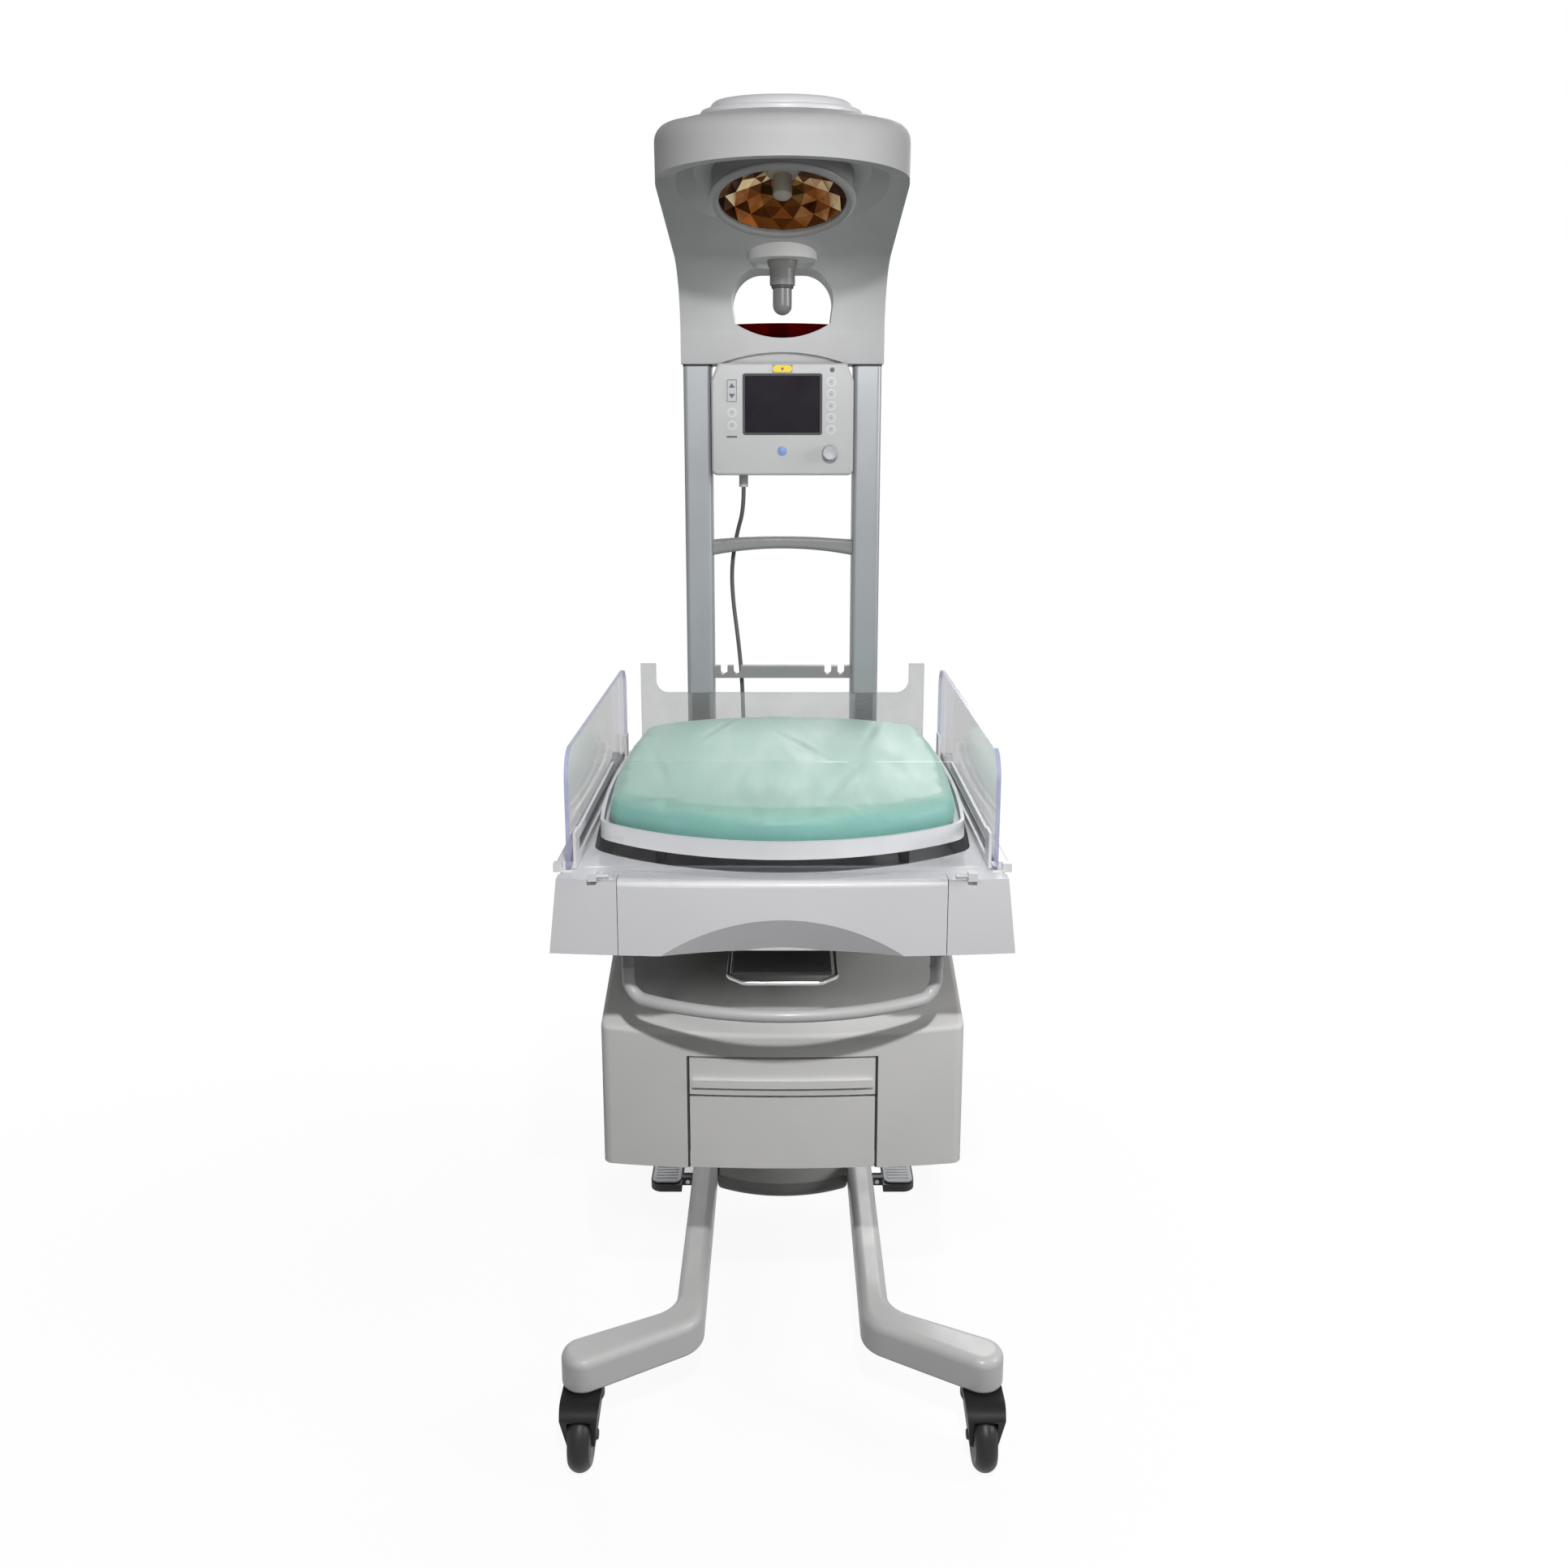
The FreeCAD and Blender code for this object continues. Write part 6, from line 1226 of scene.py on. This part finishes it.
    def dress(self, shop: Workshop) -> None:
        """Finish the solids of the mast and panel."""
        shop.dress("column_satin", "columns")
        shop.dress("bar_grey", "cross_bar", "tubing_bar")
        shop.dress("panel_grey", "control_housing", "cable_glands")
        shop.dress("screen_glass", "screen")
        shop.dress("alarm_yellow", "alarm_key")
        shop.dress("rocker_pale", "height_rocker")
        shop.dress("key_pale", "membrane_keys")


@dataclass
class Head:
    """Hood with its cap, heater, lamp and alarm lens."""

    heater_at: Point = (0.0, -0.065, 1.824)
    heater_tilt: float = -18.5
    bowl: Profile = (
        (0.0945, 0.0008), (0.0865, 0.0145), (0.0745, 0.0275), (0.0600, 0.0368), (0.0440, 0.0430),
        (0.0270, 0.0462),
    )
    facets: int = 16
    scatter: Flat = (12.9898, 437.585)
    # Shares and ranges of the painted reflections: dark, amber and pale facets.
    dark_share: float = 0.34
    pale_from: float = 0.58
    pale_reach: float = 0.42
    dark_reflection: Flat = (0.02, 0.25)
    amber_reflection: Flat = (0.18, 0.45)
    pale_reflection: Flat = (0.55, 0.9)
    lamp_at: Point = (0.0, 0.200, 1.732)
    lamp_shadow_ring: Profile = ((0.0161, 0.0), (0.0185, 0.0), (0.0185, -0.004), (0.0172, -0.0055),
                          (0.0161, -0.0055))
    lamp_steps: int = 40

    def build(self, shop: Workshop) -> None:
        """Make the reflector and the lamp's trim, then dress the solids."""
        self.reflector(shop)
        self.lamp_trim(shop)
        self.dress(shop)

    def reflector(self, shop: Workshop) -> None:
        """Faceted gold bowl in place of the plain reflector, with a painted reflection on each facet."""
        frame = Matrix.Translation(Vector(self.heater_at))
        frame = frame @ Matrix.Rotation(math.radians(self.heater_tilt), 4, "X")
        shape = bmesh.new()
        rings = []
        for index, (radius, height) in enumerate(self.bowl):
            ring = []
            for step in range(self.facets):
                angle = 2.0 * math.pi * (step + 0.5 * (index % 2)) / self.facets
                spot = Vector((radius * math.cos(angle), radius * math.sin(angle), height))
                ring.append(shape.verts.new(frame @ spot))
            rings.append(ring)
        # Each facet stores a painted reflection value; the gold material turns it into dark, amber or pale.
        painted_reflections = shape.faces.layers.float.new("painted_reflection_tone")
        count = 0
        for index, (low, high) in enumerate(zip(rings, rings[1:])):
            for step in range(self.facets):
                after = (step + 1) % self.facets
                pair = ((low[step], low[after], high[step]), (high[step], low[after], high[after]))
                if index % 2:
                    pair = ((low[step], high[after], high[step]), (low[step], low[after], high[after]))
                for corners in pair:
                    face = shape.faces.new(corners)
                    middle = face.calc_center_median() - Vector(self.heater_at)
                    face[painted_reflections] = self.tone(count, middle.y / self.bowl[0][0])
                    count += 1
        thing = Forge.from_bmesh("faceted_reflector", shape, flat=True)
        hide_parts("reflector")
        shop.place(thing, "gold_painted_reflections", Body.CARRIAGE.value, "reflector_finish")

    def tone(self, count: int, rearward: float) -> float:
        """Painted reflection of one facet: amber and dark mirrored surroundings at the rear, with pale
        painted highlights towards the front.

        Args:
            count: the facet's number.
            rearward: place from front to rear, as a share of the radius.

        Returns:
            0 for dark to 1 for pale.
        """
        turn, reach = self.scatter
        chance = math.modf(abs(math.sin(count * turn) * reach))[0]
        start = self.dark_share
        base, rise = self.amber_reflection
        if chance < self.dark_share:
            start = 0.0
            base, rise = self.dark_reflection
        elif chance > self.pale_from and rearward < self.pale_reach:
            start = self.pale_from
            base, rise = self.pale_reflection
        return base + rise * (chance - start)

    def lamp_trim(self, shop: Workshop) -> None:
        """Clamping ring between the lamp's barrel and its tip, kept dark as a painted shadow line."""
        shape = bmesh.new()
        Forge.add_lathe(shape, self.lamp_shadow_ring, Forge.about(Axis.Z, self.lamp_at), self.lamp_steps)
        # The dark finish paints the shadow line at the barrel's lower rim.
        shop.make("lamp_shadow_ring", shape, "bezel_dark", Body.LAMP.value, "hood_finish")

    def dress(self, shop: Workshop) -> None:
        """Finish the solids of the head."""
        shop.dress("hood_grey", "head_shell")
        # The turret's lighter grey is painted light on the hood's plastic.
        shop.dress("turret_painted_light", "lamp_socket")
        shop.dress("cap_grey", "top_cap")
        shop.dress("can_grey", "heater_can")
        # The ring's dark grey is painted shade on a pale part.
        shop.dress("ring_painted_shade", "heater_ring")
        shop.dress("ceramic", "heater_element")
        shop.dress("lamp_grey", "lamp_barrel")
        shop.dress("tip_white", "lamp_tip")
        shop.dress("lens_red", "alarm_lens")


# Studio


@dataclass
class Lamp:
    """One soft light: a disc, or a narrow beam where a cone is given."""

    name: str
    spot: Point
    target: Point
    width: float
    power: float
    cone: float = 0.0
    mirrored: bool = True

    BEAM_BLEND = 0.9

    def build(self) -> None:
        """Hang the light and aim it."""
        if self.cone > 0.0:
            light = bpy.data.lights.new(self.name, "SPOT")
            light.spot_size = math.radians(self.cone)
            light.spot_blend = self.BEAM_BLEND
            light.shadow_soft_size = self.width / 2.0
        else:
            light = bpy.data.lights.new(self.name, "AREA")
            light.shape = "DISK"
            light.size = self.width
        light.energy = self.power
        thing = bpy.data.objects.new(self.name, light)
        thing.visible_glossy = self.mirrored
        thing.location = self.spot
        aim = Vector(self.target) - Vector(self.spot)
        thing.rotation_euler = aim.to_track_quat("-Z", "Y").to_euler()
        bpy.context.scene.collection.objects.link(thing)


@dataclass
class Studio:
    """Pale floor, even sky, soft lamps and the camera."""

    eye: Point = (0.0, -2.1328, 1.4818)
    tilt: float = 11.44
    lens: float = 30.745
    sensor: float = 36.0
    sight: float = 200.0
    shift: Flat = (0.001, -0.0476)
    sky: float = 0.042
    sky_colour: Colour = (0.97, 0.985, 1.0)
    mirrored: float = 0.65
    floor_half: float = 40.0
    floor_colour: float = 0.10
    floor_seen: float = 0.8
    floor_glow: float = 0.90
    floor_light: Flat = (1.03, 1.112)
    floor_reach: Flat = (0.7, 3.2)
    lamps: tuple[Lamp, ...] = (
        Lamp("key_light", (0.12, -2.12, 2.35), (0.0, 0.0, 1.0), 0.09, 37.0),
        Lamp("fill_light", (-0.90, -2.20, 2.00), (0.0, 0.0, 1.0), 0.45, 7.0, mirrored=False),
        Lamp("neck_light", (0.0, -1.60, 1.35), (0.0, 0.22, 1.725), 0.30, 62.0, cone=16.5, mirrored=False),
        Lamp("bounce_light", (0.0, -0.50, 1.22), (0.0, 0.16, 1.80), 0.40, 0.8, mirrored=False),
        Lamp("side_light", (2.8, -0.9, 1.9), (0.0, 0.0, 1.0), 1.2, 38.0),
        Lamp("back_light", (0.6, 2.8, 2.6), (0.0, 0.0, 1.1), 1.8, 42.0),
        Lamp("left_light", (-1.2, 3.0, 1.5), (0.0, 0.0, 1.1), 1.8, 30.0, mirrored=False),
    )

    def build(self) -> None:
        """Set up camera, sky, lamps and floor."""
        scene = bpy.context.scene
        scene.view_settings.view_transform = "Standard"
        camera = bpy.data.cameras.new("camera")
        camera.lens = self.lens
        camera.sensor_width = self.sensor
        camera.shift_x, camera.shift_y = self.shift
        camera.clip_end = self.sight
        thing = bpy.data.objects.new("camera", camera)
        thing.location = self.eye
        thing.rotation_euler = (math.radians(90.0 - self.tilt), 0.0, 0.0)
        scene.collection.objects.link(thing)
        scene.camera = thing
        scene.world = self.sky_light()
        self.floor()
        for lamp in self.lamps:
            lamp.build()

    def seen_rays(self, sheet: NodeSheet) -> Socket:
        """A socket that is 1 for what is seen straight or through glass, and less for mirrored rays."""
        path = sheet.add("ShaderNodeLightPath")
        straight = sheet.math("MAXIMUM", path.outputs["Is Camera Ray"], path.outputs["Is Transmission Ray"])
        mirror = sheet.math("MULTIPLY", path.outputs["Is Glossy Ray"], self.mirrored)
        return sheet.math("MAXIMUM", straight, mirror)

    def sky_light(self) -> bpy.types.World:
        """A sky that is white where it is seen and softer where it lights."""
        sheet = NodeSheet(bpy.data.worlds.new("studio_sky"), "ShaderNodeOutputWorld")
        looks = []
        for colour, strength in ((self.sky_colour, self.sky), ((1.0, 1.0, 1.0), 1.0)):
            look = sheet.add("ShaderNodeBackground")
            look.inputs["Color"].default_value = (*colour, 1.0)
            look.inputs["Strength"].default_value = strength
            looks.append(look.outputs["Background"])
        return sheet.show(sheet.layer(*looks, self.seen_rays(sheet)))

    def floor(self) -> None:
        """Pale floor that keeps the shadow: near the warmer it glows less, and the lamps make up the rest."""
        shape = bmesh.new()
        half = self.floor_half
        corners = ((-half, -half), (half, -half), (half, half), (-half, half))
        shape.faces.new([shape.verts.new((x, y, 0.0)) for x, y in corners])
        thing = Forge.from_bmesh("studio_floor", shape)
        sheet = NodeSheet(bpy.data.materials.new("floor_white"))
        seen = self.seen_rays(sheet)
        matt = sheet.add("ShaderNodeBsdfDiffuse")
        sheet.join(sheet.spread(seen, (self.floor_colour, self.floor_seen), (0.0, 1.0)), matt.inputs["Color"])
        away = sheet.add("ShaderNodeVectorMath", operation="LENGTH")
        sheet.join(sheet.add("ShaderNodeTexCoord").outputs["Object"], away.inputs[0])
        glow = sheet.add("ShaderNodeEmission")
        fade = sheet.spread(away.outputs["Value"], self.floor_light, self.floor_reach)
        sheet.join(fade, glow.inputs["Strength"])
        share = sheet.math("MULTIPLY", seen, self.floor_glow)
        both = sheet.layer(matt.outputs["BSDF"], glow.outputs["Emission"], share)
        thing.data.materials.append(sheet.show(both))


def main() -> None:
    """Load the solids, dress them and set the studio."""
    logging.basicConfig(level=logging.INFO, format="%(name)s: %(message)s")
    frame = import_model()
    shop = Workshop(frame["nodes"], Finishes())
    Studio().build()
    for assembly in (Mast(), RollingBase(), Storage(), Bed(), Head()):
        assembly.build(shop)
        LOG.info("%s done", type(assembly).__name__)
    LOG.info("%d pieces placed", len(shop.placed))


if __name__ == "__main__":
    main()
